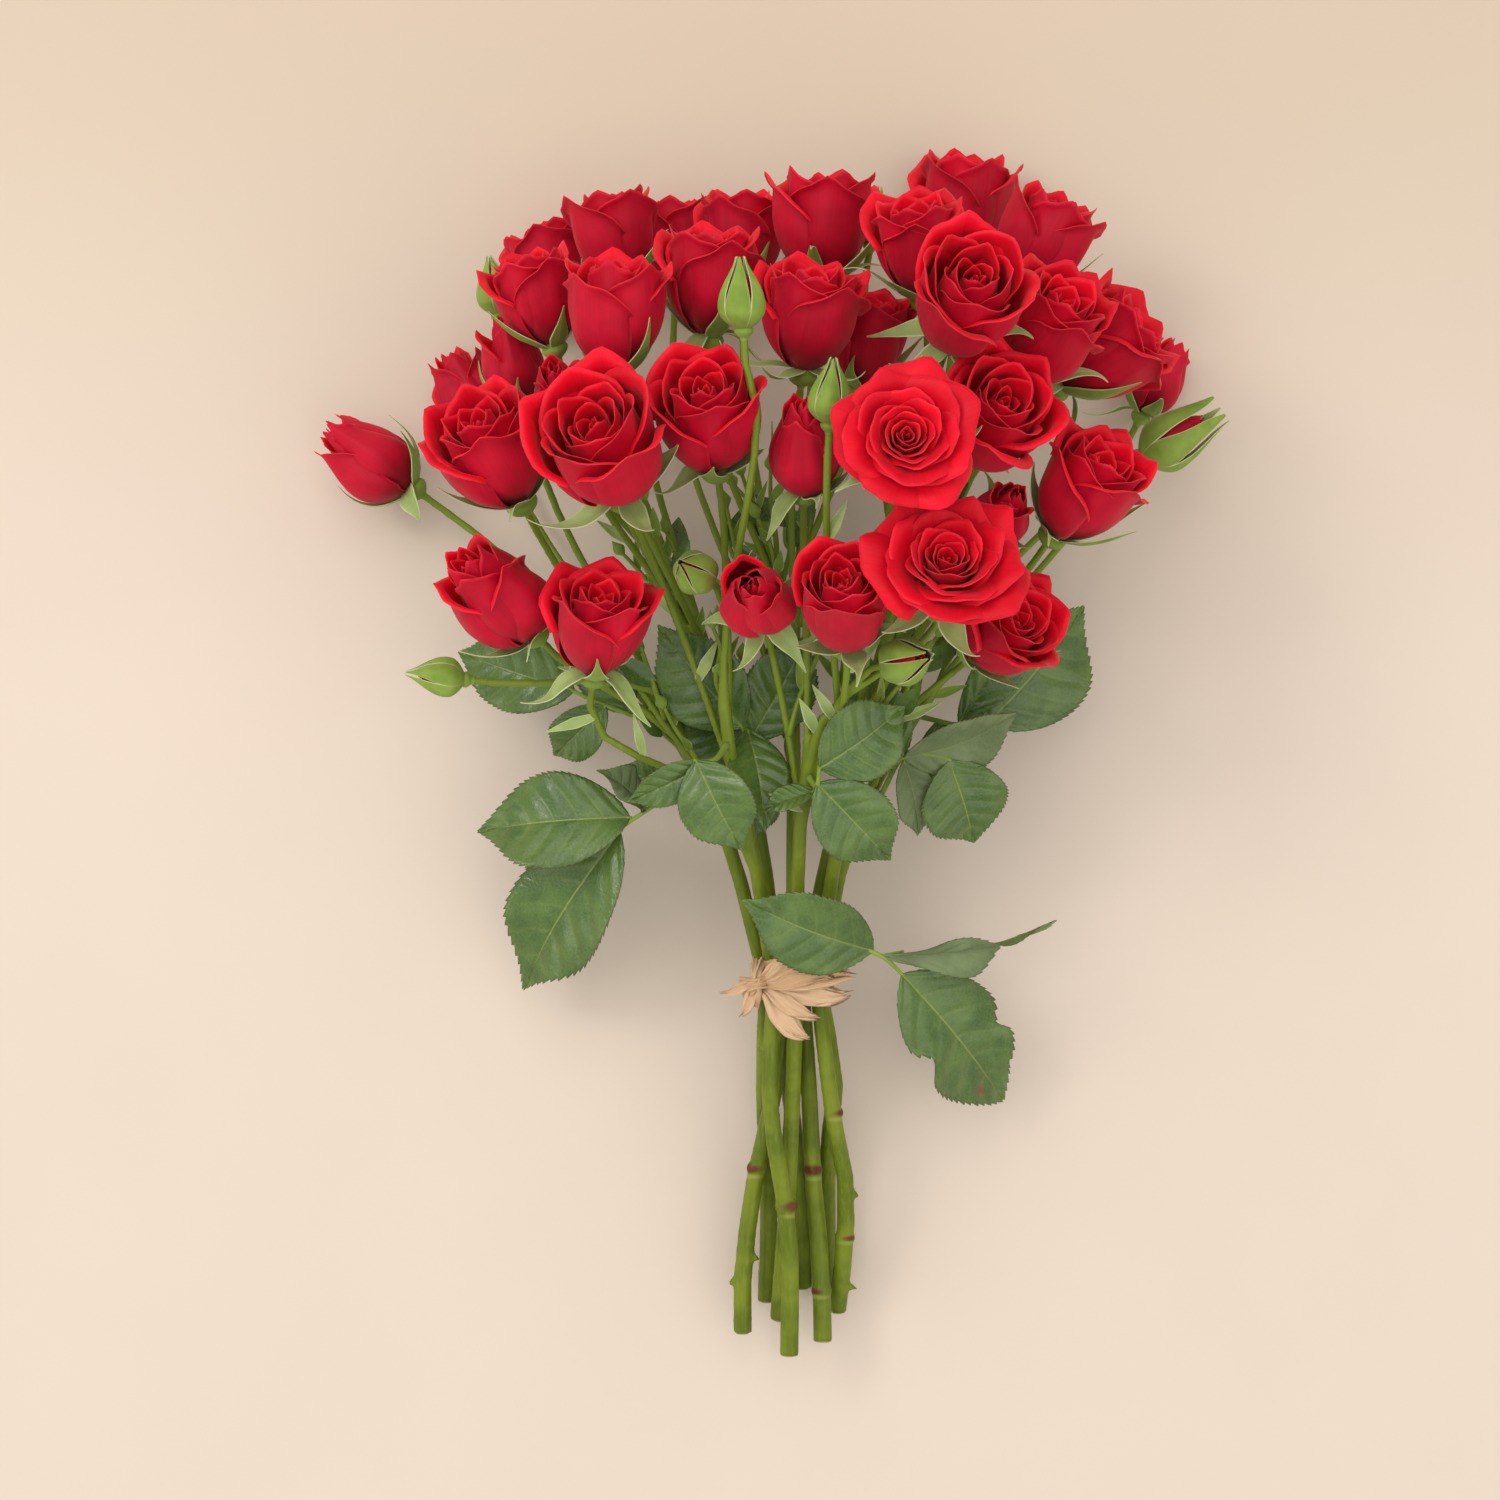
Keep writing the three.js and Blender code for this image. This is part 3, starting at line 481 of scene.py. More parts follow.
LEAF_TOP = leaf_finish(
    "leaf_top",
    dark=(0.054, 0.116, 0.021),
    light=(0.102, 0.178, 0.036),
    rib=(0.27, 0.35, 0.09),
    roughness=0.25,
    gloss=0.50,
)
LEAF_UNDER = leaf_finish(
    "leaf_under",
    dark=(0.12, 0.17, 0.07),
    light=(0.18, 0.235, 0.11),
    rib=(0.27, 0.33, 0.14),
    roughness=0.58,
    gloss=0.25,
)
print("finishes:", LEAF_TOP.name, LEAF_UNDER.name)

# %% [markdown]
# ### Stems
#
# The stems have a smooth waxy skin. It is a mid green with faint lengthwise
# streaks and lighter patches, and it turns red-brown round the scars where leaves
# and thorns came off. The freshly cut ends show the pale wood.


# %% Stem finish
STEM_GREENS = (0.108, 0.152, 0.004), (0.180, 0.232, 0.012)
STEM_STREAK = (0.25, 0.31, 0.045)
STEM_MARKS = {  # what each mark on a stem turns its colour to
    "young": (0.190, 0.270, 0.024),
    "pale": (0.34, 0.38, 0.08),
    "scar": (0.125, 0.034, 0.009),
    "cut": (0.42, 0.44, 0.22),
}
DRAWN_OUT = (1.0, 0.09, 1.0)  # streaks run along y, as the canes do


def stem_finish():
    look = Finish("stem_skin", roughness=0.36, Specular_IOR_Level=0.26)
    where = look.place()
    squeeze = look.node("ShaderNodeMapping")
    squeeze.inputs["Scale"].default_value = DRAWN_OUT
    look.join(where, squeeze.inputs["Vector"])
    streaks = look.noise(squeeze.outputs[0], 900.0, detail=3.0)
    patches = look.noise(where, 55.0, detail=3.0)
    colour = look.mix(look.between(patches, 0.35, 0.65), *STEM_GREENS)
    colour = look.mix(look.between(streaks, 0.45, 0.75, 0.0, 0.30), colour, STEM_STREAK)
    for mark, tint in STEM_MARKS.items():
        colour = look.mix(look.mark(mark), colour, tint)
    look.colour(colour)
    look.relief(streaks, 0.12, 0.35)
    return look.material


STEM_SKIN = stem_finish()
print("finish:", STEM_SKIN.name)

# %% [markdown]
# ### Raffia
#
# Raffia is the dried skin of palm leaves, torn into flat ribbons. It is pale tan and
# matt, with fibres that run the whole length of each ribbon, a little darker in the
# folds.


# %% Raffia finish
FIBRE_TANS = (0.50, 0.290, 0.142), (0.76, 0.505, 0.295)
FIBRE_PALE = (0.78, 0.58, 0.39)


def raffia_finish():
    look = Finish("raffia_fibre", roughness=0.72, Specular_IOR_Level=0.25)
    fibres = look.noise(look.lengthwise(16.0, 0.9, 41.0), 1.4, detail=5.0, roughness=0.7)
    colour = look.mix(look.between(fibres, 0.28, 0.72), *FIBRE_TANS)
    colour = look.mix(look.sum("MULTIPLY", look.mark("tone"), 0.45), colour, FIBRE_PALE)
    look.colour(colour)
    look.relief(fibres, 0.35, 0.8)
    return look.material


RAFFIA = raffia_finish()
print("finish:", RAFFIA.name)

# %% [markdown]
# ## Reading a bloom from the model
#
# In the model each bloom is a simple cup turned on a lathe, with eight sides and a
# point at each end where eight edges meet. Those two points give its axis. The one
# with the narrow hip round it is the foot. The cup's name says how far it is open,
# and each kind has its own proportion of length to radius, so the total length
# gives the radius too.

# %% Measure every bloom
CUP_LENGTH = {  # in radii, without the hip
    "open_rose": 0.95,
    "half_open_rose": 1.95,
    "closed_rose": 2.15,
    "green_bud": 2.9,
}
CUP_SIDES = 8
HIP_LENGTH = 0.4
HIP_SLOPE = math.log(0.34 / 0.152)  # how far out the hip's first ring is, over how far up
WELD = 1e-5  # metres


def read_bloom(node):
    kind = node.rsplit("_", 1)[0]
    cup = bmesh.new()
    cup.from_mesh(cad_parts[node].data)
    bmesh.ops.remove_doubles(cup, verts=cup.verts, dist=WELD)
    points = [v for v in cup.verts if len(v.link_edges) >= CUP_SIDES]
    ends = max(combinations(points, 2), key=lambda p: (p[0].co - p[1].co).length)
    axis = (ends[1].co - ends[0].co).normalized()

    def slope(end):
        away = [edge.other_vert(end).co - end.co for edge in end.link_edges]
        depth = np.mean([abs(v.dot(axis)) for v in away])
        reach = np.mean([(v - v.dot(axis) * axis).length for v in away])
        return abs(math.log(reach / depth) - HIP_SLOPE)

    foot, top = sorted(ends, key=slope)
    foot, top = np.array(foot.co) / MM, np.array(top.co) / MM
    cup.free()
    total = np.linalg.norm(top - foot)
    radius = total / (CUP_LENGTH[kind] + HIP_LENGTH)
    axis = (top - foot) / total
    return {
        "node": node,
        "kind": kind,
        "axis": axis,
        "radius": radius,
        "length": CUP_LENGTH[kind] * radius,
        "foot": foot,
        "seat": foot + axis * HIP_LENGTH * radius,
    }


blooms = [read_bloom(n) for n in sorted(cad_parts) if "rose" in n or "bud" in n]
for kind in CUP_LENGTH:
    radii = [b["radius"] for b in blooms if b["kind"] == kind]
    print(kind, len(radii), "radius", round(min(radii), 1), "to", round(max(radii), 1))

# %% [markdown]
# ## One petal
#
# Seen from the side, a petal's middle line leaves the hip nearly flat, turns up
# round the bowl of the bloom, leans in or out, and at its lip rolls back. So the
# line is grown step by step: at each step its slope from the bloom's axis is known,
# and the step adds a little height and a little radius. The first bend is tuned
# until the wall reaches the wanted radius.
#
# Across, the petal wraps round the axis. One edge is tucked in and the other is
# outside, which makes the spiral of a rose. Near its rim the petal is wavy, and the
# sides roll back further than the middle, which leaves the little point at the tip.

# %% Grow one petal as a grid
ROWS = 22
COLUMNS = 19
STEP = rows_of(ROWS)
SIDE = columns_of(COLUMNS)


def wall_line(slope, size, foot_radius):
    """Radius and height of the petal's middle surface, row by row."""
    ds = size / (ROWS - 1)
    middle = 0.5 * (slope[1:] + slope[:-1])
    zero = np.zeros((1, slope.shape[1]))
    radius = foot_radius + np.vstack([zero, np.cumsum(np.sin(middle) * ds, axis=0)])
    height = np.vstack([zero, np.cumsum(np.cos(middle) * ds, axis=0)])
    return radius, height


# %% One petal, from its own few measures
def petal(turn, size, foot_radius, wall_radius, half_width, lean, roll, wave, rng,
          wrap, lip=0.85, tuck=0.10, point=0.04, belly=0.6, corner=0.28):
    """A grid of points round the z axis, and the petal's middle line."""
    bowl = 1.0 - ease(STEP / belly)
    low, high = 0.0, 2.2
    for _ in range(18):
        bend = 0.5 * (low + high)
        radius, _ = wall_line(bend * bowl, size, foot_radius)
        reach = radius[int(belly * ROWS), 0]
        low, high = (bend, high) if reach < wall_radius else (low, bend)
    rolled = ease((STEP - lip) / (1.0 - lip)) ** 1.1
    shoulders = 1.0 + 0.55 * np.abs(SIDE) ** 1.5 - 0.35 * np.exp(-((SIDE / 0.22) ** 2))
    slope = bend * bowl + lean * ease((STEP - 0.30) / 0.45) + roll * rolled * shoulders
    # The rim is rounded: the outer columns are shorter, and the tip has its point.
    rim = 1.0 - corner * np.abs(SIDE) ** 2.6 + point * np.exp(-((SIDE / 0.16) ** 2))
    radius, height = wall_line(slope * np.ones_like(SIDE), size * rim, foot_radius)
    width = half_width * (0.16 + 0.84 * ease(STEP / 0.72))
    angle = np.minimum(width / np.maximum(radius, 0.35 * wall_radius), wrap)
    phase = rng.uniform(0, 2 * math.pi, 3)
    ripple = (
        np.sin(2.6 * math.pi * SIDE + phase[0])
        + 0.6 * np.sin(4.7 * math.pi * SIDE + phase[1])
        + 0.5 * np.sin(3.0 * STEP * math.pi + phase[2])
    )
    free_edge = tuck * SIDE + 0.05 * np.maximum(SIDE, 0.0) ** 4
    radius = radius * (1.0 + free_edge) + wave * ripple * ease((STEP - 0.45) / 0.55)
    height = height + 0.8 * wave * np.sin(3.3 * math.pi * SIDE + phase[1]) * STEP**3
    azimuth = turn + SIDE * angle
    grid = np.stack([radius * np.cos(azimuth), radius * np.sin(azimuth), height], -1)
    middle = COLUMNS // 2
    spine = np.column_stack([radius[:, middle], height[:, middle], slope[:, middle]])
    return grid, spine


def petal_marks(rng):
    edge = np.maximum(np.abs(SIDE) ** 6, np.broadcast_to(STEP**9, (ROWS, COLUMNS)))
    return {
        "along": STEP,
        "across": SIDE,
        "edge": edge,
        "tone": float(rng.uniform(0.0, 1.0)),
    }


# %% [markdown]
# ## The spiral of petals
#
# New petals of a rose appear at the golden angle, about 137.5 degrees from the one
# before, so no two stand exactly over each other. The tables below say how each
# kind of bloom changes from its innermost petal to its outermost: how far the wall
# stands from the axis, how tall it is, and how far it leans and rolls. Numbers in
# between are blended.
#
# - A closed rose keeps its petals wrapped, and only the outermost tips turn back.
# - A half open rose is a tall cup with rolled lips and a tight heart.
# - An open rose lays its outer petals almost flat.

# %% How the petals change from heart to outside
GOLDEN = math.radians(137.5)
PETAL_THICKNESS = 0.26
FULLNESS = 1.14  # petals spread a little past the model's cups, as lips do
# share: 0 is the innermost petal and 1 the outermost; lengths are in bloom radii
BLOOM_SHAPES = {
    "closed_rose": {
        "petals": 14,
        "belly": 0.62,
        "corner": 0.34,
        "share": [0.0, 0.3, 0.6, 0.85, 1.0],
        "wall": [0.10, 0.36, 0.62, 0.80, 0.88],
        "tall": [1.90, 2.08, 2.12, 2.08, 1.98],
        "lean": [-6, -13, -20, -21, -15],
        "roll": [0, 0, 12, 40, 75],
        "lip": [0.95, 0.92, 0.90, 0.87, 0.85],
        "width": [0.5, 0.95, 1.25, 1.35, 1.35],
    },
    "half_open_rose": {
        "petals": 20,
        "belly": 0.80,
        "corner": 0.33,
        "share": [0.0, 0.25, 0.5, 0.75, 1.0],
        "wall": [0.08, 0.30, 0.53, 0.75, 0.90],
        "tall": [1.56, 1.72, 1.82, 1.88, 1.84],
        "lean": [-4, -7, -6, -2, 3],
        "roll": [0, 10, 26, 52, 84],
        "lip": [0.94, 0.93, 0.92, 0.89, 0.84],
        "width": [0.4, 0.75, 1.0, 1.2, 1.3],
    },
    "open_rose": {
        "petals": 30,
        "belly": 0.60,
        "corner": 0.40,
        "share": [0.0, 0.25, 0.5, 0.75, 1.0],
        "wall": [0.05, 0.17, 0.27, 0.34, 0.40],
        "tall": [0.70, 0.84, 0.94, 1.02, 1.06],
        "lean": [-4, 4, 18, 44, 72],
        "roll": [6, 20, 30, 40, 46],
        "lip": [0.88, 0.84, 0.80, 0.78, 0.76],
        "width": [0.22, 0.42, 0.60, 0.76, 0.86],
    },
}


def hash_name(name):
    """A steady number for a name, so that each bloom differs but never changes."""
    value = 17
    for letter in name:
        value = (value * 131 + ord(letter)) % 1000003
    return value


def blend(shape, key, share):
    return float(np.interp(share, shape["share"], shape[key]))


def grow_petals(bloom):
    shape = BLOOM_SHAPES[bloom["kind"]]
    rng = np.random.default_rng(hash_name(bloom["node"]))
    radius = FULLNESS * bloom["radius"]
    sheets = Sheets()
    turned = frame_on(bloom["axis"], rng.uniform(0, 2 * math.pi))
    more = rng.uniform(-1.0, 1.0)  # how much further open than its neighbours
    count = shape["petals"]
    for i in range(count):
        share = i / (count - 1)
        wall = radius * blend(shape, "wall", share)
        foot = min(0.16 * radius, 0.8 * wall)
        tall = radius * blend(shape, "tall", share) * rng.uniform(0.97, 1.03)
        lean = blend(shape, "lean", share) + 4 * more + rng.uniform(-3, 3)
        roll = blend(shape, "roll", share) * (1.0 + 0.3 * more) * rng.uniform(0.75, 1.15)
        grid, bloom["wall"] = petal(
            turn=i * GOLDEN + rng.uniform(-0.12, 0.12),
            size=tall + 0.34 * (wall - foot),
            foot_radius=foot,
            wall_radius=wall,
            half_width=radius * blend(shape, "width", share),
            lean=math.radians(lean),
            roll=math.radians(roll),
            wave=radius * (0.004 + 0.015 * share),
            rng=rng,
            lip=blend(shape, "lip", share),
            wrap=2.3 - 1.15 * share,
            tuck=0.11,
            point=0.03 + 0.06 * share,
            belly=shape["belly"],
            corner=shape["corner"],
        )
        grid = bloom["seat"] + grid @ turned.T
        sheets.add(grid, **petal_marks(rng))
    piece = sheets.build(bloom["node"] + "_petals", [PETAL_OUTER, PETAL_INNER, PETAL_RIM_HIGHLIGHT])
    thicken(piece, PETAL_THICKNESS, offset=-1.0, back=1, rim=2)
    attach(piece, "root")
    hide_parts(bloom["node"])
    return piece


# %% Grow all the petals
petal_pieces = [grow_petals(b) for b in blooms if b["kind"] != "green_bud"]
print("roses:", len(petal_pieces))
print("points in them:", sum(len(p.data.vertices) for p in petal_pieces))

# %% [markdown]
# ## Hips and sepals
#
# The hip is a small urn, turned round the bloom's axis. From its neck grow five
# narrow sepals with a fold along the middle and a long thin tip. Under a closed
# rose most of them still lie against the petals. As the rose opens they swing out
# and hang back, and their tips curl.


# %% One sepal, and the urn of the hip
SEPAL_ROWS = 19
SEPAL_SIDE = columns_of(7)
SEPAL_THICKNESS = 0.30


def sepal(turn, line, width, twist, fold=0.25):
    """A narrow folded sheet. The line gives radius, height and slope, foot to tip."""
    step = np.linspace(0.0, 1.0, SEPAL_ROWS)
    radius, height, slope = line.T
    taper = np.interp(step, [0, 0.12, 0.28, 0.45, 0.65, 0.85, 1.0],
                      [0.62, 0.88, 1.0, 0.80, 0.44, 0.17, 0.05])
    across = 0.5 * width * taper[:, None] * SEPAL_SIDE
    sway = twist * step[:, None] ** 2
    lift = -fold * np.abs(across) + across * sway
    r = radius[:, None] + lift * np.cos(slope)[:, None]
    z = height[:, None] - lift * np.sin(slope)[:, None]
    a = turn + sway * 0.35
    x = r * np.cos(a) - across * np.sin(a)
    y = r * np.sin(a) + across * np.cos(a)
    return np.stack([x, y, z], -1)


def free_line(size, slopes, foot_radius):
    """A line that leaves the hip and follows slopes given from foot to tip."""
    step = np.linspace(0.0, 1.0, SEPAL_ROWS)
    slope = np.interp(step, np.linspace(0, 1, len(slopes)), np.radians(slopes))
    radius, height = wall_line(
        slope[:, None], size * (ROWS - 1) / (SEPAL_ROWS - 1), foot_radius
    )
    return np.column_stack([radius, height, slope])


def hugging_line(size, wall, gap, flare):
    """A line that lies on the outer petals and only lifts its tip."""
    arc = np.concatenate([[0], np.cumsum(np.hypot(*np.diff(wall[:, :2], axis=0).T))])
    at = np.linspace(0.0, min(size, 0.86 * arc[-1]), SEPAL_ROWS)
    step = np.linspace(0.0, 1.0, SEPAL_ROWS)
    radius, height, slope = (np.interp(at, arc, wall[:, k]) for k in range(3))
    lift = gap + flare * step**4
    return np.column_stack(
        [radius + lift * np.cos(slope), height - lift * np.sin(slope), slope]
    )


def hip_profile(radius):
    return np.array([
        [1.5, -0.9],
        [1.75, 0.3],
        [0.24 * radius, 0.10 * radius],
        [0.33 * radius, 0.22 * radius],
        [0.32 * radius, 0.32 * radius],
        [0.25 * radius, 0.40 * radius],
        [0.22 * radius, 0.46 * radius],
        [0.05 * radius, 0.50 * radius],
    ])


def hip_grid(radius, sides=16):
    line = smooth_path(np.column_stack([hip_profile(radius), np.zeros(8)]), 18)
    turns = np.linspace(0, 2 * math.pi, sides, endpoint=False)
    return np.stack(
        [
            line[:, :1] * np.cos(turns),
            line[:, :1] * np.sin(turns),
            np.repeat(line[:, 1:2], sides, axis=1),
        ],
        -1,
    )


SEPAL_HABITS = {  # slopes from the axis in degrees, foot to tip
    "spreading": [84, 66, 52, 50, 60, 84, 112],
    "level": [92, 96, 92, 82, 70, 52, 30],
    "hanging": [96, 116, 134, 140, 130, 108, 76],
}
HABITS = ["hugging", "spreading", "level", "hanging"]
HABIT_CHANCES = {
    "closed_rose": [0.50, 0.20, 0.15, 0.15],
    "half_open_rose": [0.30, 0.20, 0.22, 0.28],
    "open_rose": [0.0, 0.20, 0.50, 0.30],
}


def runs_into_a_bloom(grid, own):
    """Whether a sheet enters the petals of any bloom but its own."""
    points = grid.reshape(-1, 3)
    for bloom in blooms:
        apart = points - bloom["seat"]
        up = apart @ bloom["axis"]
        out = np.linalg.norm(apart - np.outer(up, bloom["axis"]), axis=1)
        reach = (1.2 if bloom["kind"] == "open_rose" else 1.04) * bloom["radius"]
        inside = (up > -3.0) & (up < bloom["length"] + 4.0) & (out < reach)
        if bloom is not own and inside.any():
            return True
    return False


def add_hip(sheets, bloom, radius, turned):
    hip = hip_grid(radius)
    sheets.add(
        bloom["foot"] + hip @ turned.T,
        wrapped=True,
        along=rows_of(hip.shape[0]),
        across=columns_of(hip.shape[1]),
        edge=0.0,
        tone=0.4,
    )


# %% Grow a hip and five sepals under every rose
LARGEST_CALYX = 19.0  # the sepals of a bigger bloom grow no bigger
SEPAL_TRIES = 10  # new shapes tried for a sepal before it may enter a neighbour


def grow_calyx(bloom):
    rng = np.random.default_rng(hash_name(bloom["node"]) + 5)
    radius = bloom["radius"]
    grown = min(radius, LARGEST_CALYX)
    turned = frame_on(bloom["axis"], rng.uniform(0, 2 * math.pi))
    sheets = Sheets()
    add_hip(sheets, bloom, radius, turned)
    for i in range(5):
        for attempt in range(SEPAL_TRIES):
            habit = rng.choice(HABITS, p=HABIT_CHANCES[bloom["kind"]])
            size = rng.uniform(1.35, 1.90) * grown * (1.0 - 0.05 * attempt)
            if habit == "hugging":
                gap = 0.05 * radius + 0.9
                line = hugging_line(size, bloom["wall"], gap, rng.uniform(0, 5))
            else:
                slopes = np.array(SEPAL_HABITS[habit]) + rng.uniform(-12, 12, 7)
                line = free_line(size, slopes, 0.20 * radius)
            grid = sepal(
                turn=2 * math.pi * i / 5 + rng.uniform(-0.15, 0.15),
                line=line,
                width=rng.uniform(0.44, 0.62) * grown,
                twist=rng.uniform(-0.9, 0.9),
            )
            grid = grid + [0.0, 0.0, HIP_LENGTH * radius]
            grid = bloom["foot"] + grid @ turned.T
            if not runs_into_a_bloom(grid, bloom):
                break
        sheets.add(
            grid,
            along=rows_of(SEPAL_ROWS),
            across=SEPAL_SIDE,
            edge=np.abs(SEPAL_SIDE) ** 3,
            tone=float(rng.uniform(0, 1)),
        )
    piece = sheets.build(bloom["node"] + "_calyx", [SEPAL_OUTER, SEPAL_INNER])
    soften(piece)
    thicken(piece, SEPAL_THICKNESS, offset=-1.0, back=1, rim=1)
    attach(piece, "root")
    return piece


calyx_pieces = [grow_calyx(b) for b in blooms if b["kind"] != "green_bud"]
print("calyces:", len(calyx_pieces))

# %% [markdown]
# ## Green buds
#
# In a bud the five sepals are still closed round the petals. They meet edge to edge
# along five pale seams, their tips stand together in a beak, and a slit may show
# red. Each sepal is a broad petal-like sheet that follows an egg shape, over a core
# of closed petals.


# %% Buds
BUD_THICKNESS = 0.35
BIG_BUD = 10.5  # a bud with a bigger radius has begun to open
OPENED = 0.24


def grow_bud(bloom):
    rng = np.random.default_rng(hash_name(bloom["node"]) + 11)
    radius, length = bloom["radius"], bloom["length"]
    turned = frame_on(bloom["axis"], rng.uniform(0, 2 * math.pi))
    opening = OPENED if radius > BIG_BUD else rng.choice([0.02, 0.05, 0.09])
    green = Sheets()
    add_hip(green, bloom, radius * 1.25, turned)
    step, side = rows_of(20), columns_of(11)
    egg = radius * np.interp(
        step, [0, 0.08, 0.2, 0.34, 0.5, 0.66, 0.8, 0.9, 1.0],
        [0.28, 0.66, 0.95, 1.0, 0.90, 0.66, 0.38, 0.20, 0.10],
    )
    for i in range(5):
        spread = opening * ease((step - 0.35) / 0.65) * rng.uniform(0.6, 1.4)
        half = (math.pi / 5) * 1.04 * np.interp(
            step, [0, 0.35, 0.6, 0.8, 0.92, 1.0], [1.0, 1.0, 0.92, 0.75, 0.50, 0.22]
        )
        half = half * (1.0 - 1.3 * opening * ease((step - 0.12) / 0.5))
        ridge = 1.0 + 0.05 * np.cos(math.pi * side) + 0.05 * ease((step - 0.7) / 0.3)
        r = egg * ridge + radius * spread * 1.6 * step
        z = 0.40 * radius + length * (0.99 + 0.35 * opening) * step
        a = 2 * math.pi * i / 5 + side * half + 0.25 * step
        z = np.broadcast_to(z, r.shape)
        grid = np.stack([r * np.cos(a), r * np.sin(a), z], -1)
        green.add(
            bloom["foot"] + grid @ turned.T,
            along=step,
            across=side,
            edge=np.abs(side) ** 5,
            tone=float(rng.uniform(0, 1)),
        )
    sepals = green.build(bloom["node"] + "_sepals", [SEPAL_OUTER, SEPAL_INNER])
    soften(sepals)
    thicken(sepals, BUD_THICKNESS, offset=-1.0, back=1, rim=1)
    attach(sepals, "root")
    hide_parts(bloom["node"])

    red = Sheets()
    for i in range(6):
        share = i / 5
        grid, _ = petal(
            turn=i * GOLDEN,
            size=length * (0.80 + 0.3 * opening),
            foot_radius=0.2 * radius,
            wall_radius=radius * (0.45 + 0.32 * share),
            half_width=1.1 * radius,
            lean=math.radians(-22),
            roll=0.0,
            wave=0.0,
            rng=rng,
            wrap=1.7,
        )
        red.add(bloom["seat"] + grid @ turned.T, **petal_marks(rng))
    heart = red.build(bloom["node"] + "_petals", [PETAL_OUTER, PETAL_INNER, PETAL_RIM_HIGHLIGHT])
    thicken(heart, PETAL_THICKNESS, offset=-1.0, back=1, rim=2)
    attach(heart, "root")
    return sepals


bud_pieces = [grow_bud(b) for b in blooms if b["kind"] == "green_bud"]
print("buds:", len(bud_pieces))

# %% [markdown]
# ## Stems
#
# The model's stems are faceted rods joined at their forks. Each is copied, its cut
# end is kept, and small swellings are added where leaves once grew and a few blunt
# thorns. A voxel remesh fuses all of it into one skin, and smoothing rounds the
# facets and softens the forks, as bark does.
#
# Smoothing also makes a thin stalk thinner, so the skin is pushed out again by the
# amount it lost.

# %% The marks on the canes
# cane, how far along the bunch, degrees round it from +X towards +Z, size, and for
# a scar how much of the way round the cane it goes
SCARS = [
    ("stem_1", -91, 15, 2.0, 0.25),
    ("stem_8", -77, 150, 1.7, 0.5),
    ("stem_6", -78, 95, 1.8, 0.8),
    ("stem_4", -106, 50, 1.0, 0.6),
    ("stem_6", -128, 140, 1.1, 0.5),
    ("stem_4", -53, 15, 1.3, 0.5),
]
THORNS = [
    ("stem_1", -26, 178, 2.6),
    ("stem_6", -41, 172, 2.6),
    ("stem_4", -87, 5, 1.6),
    ("stem_4", -127, 10, 3.0),
    ("stem_8", -114, 10, 2.2),
    ("stem_8", -124, 175, 1.8),
    ("stem_5", -105, 170, 2.2),
    ("stem_7", -96, 200, 2.2),
]


def points_of(mesh):
    """The points of a mesh in the gardener's frame, one row for each."""
    points = np.empty(len(mesh.vertices) * 3)
    mesh.vertices.foreach_get("co", points)
    return points.reshape(-1, 3) / MM - SHIFT


def out_of_cane(turn):
    """The direction that a mark looks, from its degrees round the cane."""
    return np.array([math.cos(math.radians(turn)), 0, math.sin(math.radians(turn))])


def cane_at(points, along):
    """Middle and radius of a cane at one place below the tie."""
    rows = points[points[:, 1] < 12]
    order = np.argsort(rows[:, 1])
    rows = rows[order]
    breaks = np.where(np.diff(rows[:, 1]) > 5)[0] + 1
    groups = [g for g in np.split(rows, breaks) if len(g) >= 5]
    middles = np.array([g.mean(0) for g in groups])
    middle = np.array([np.interp(along, middles[:, 1], line) for line in middles.T])
    spread = [np.linalg.norm(g - g.mean(0), axis=1).mean() for g in groups]
    return middle, float(np.interp(along, middles[:, 1], spread))


stem_1 = points_of(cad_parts["stem_1"].data)
print("middle and radius of stem_1 at y = -80:", cane_at(stem_1, -80))


# %% Swell a cane at its scars and thorns
VOXEL = 0.75
PUSHED_OUT = 0.22  # gives back what smoothing takes off a stalk


def add_ball(cup, middle, radii, pull=None):
    made = bmesh.ops.create_icosphere(cup, subdivisions=2, radius=1.0)
    for v in made["verts"]:
        direction = np.array(v.co)
        place = np.array(middle) + direction * radii
        if pull is not None and direction @ unit(pull) > 0:
            place = place + np.asarray(pull) * (direction @ unit(pull)) ** 3
        v.co = Vector((place + SHIFT) * MM)


def swell(skin, node, points):
    """Adds the swellings, and returns where the skin is marked and how."""
    marks = []
    for owner, along, turn, size, spread in SCARS:
        if owner != node:
            continue
        middle, radius = cane_at(points, along)
        way = out_of_cane(turn)
        add_ball(skin, middle, np.array([radius + 0.55, 3.4, radius + 0.55]))
        add_ball(skin, middle + way * (radius - 0.5), np.array([1.2, 1.5, 1.2]) * size)
        sideways = 1.0 - 0.62 * spread
        marks.append((middle + way * (radius + 0.4), 3.2 * size, sideways, 2.2))
    for owner, along, turn, size in THORNS:
        if owner != node:
            continue
        middle, radius = cane_at(points, along)
        way = out_of_cane(turn)
        pull = way * size + np.array([0, -0.8, 0])
        add_ball(skin, middle + way * (radius - 0.4), np.array([1.1, 2.0, 1.1]), pull)
        marks.append((middle + way * (radius + size), 1.3, 1.0, 1.0))
    return marks


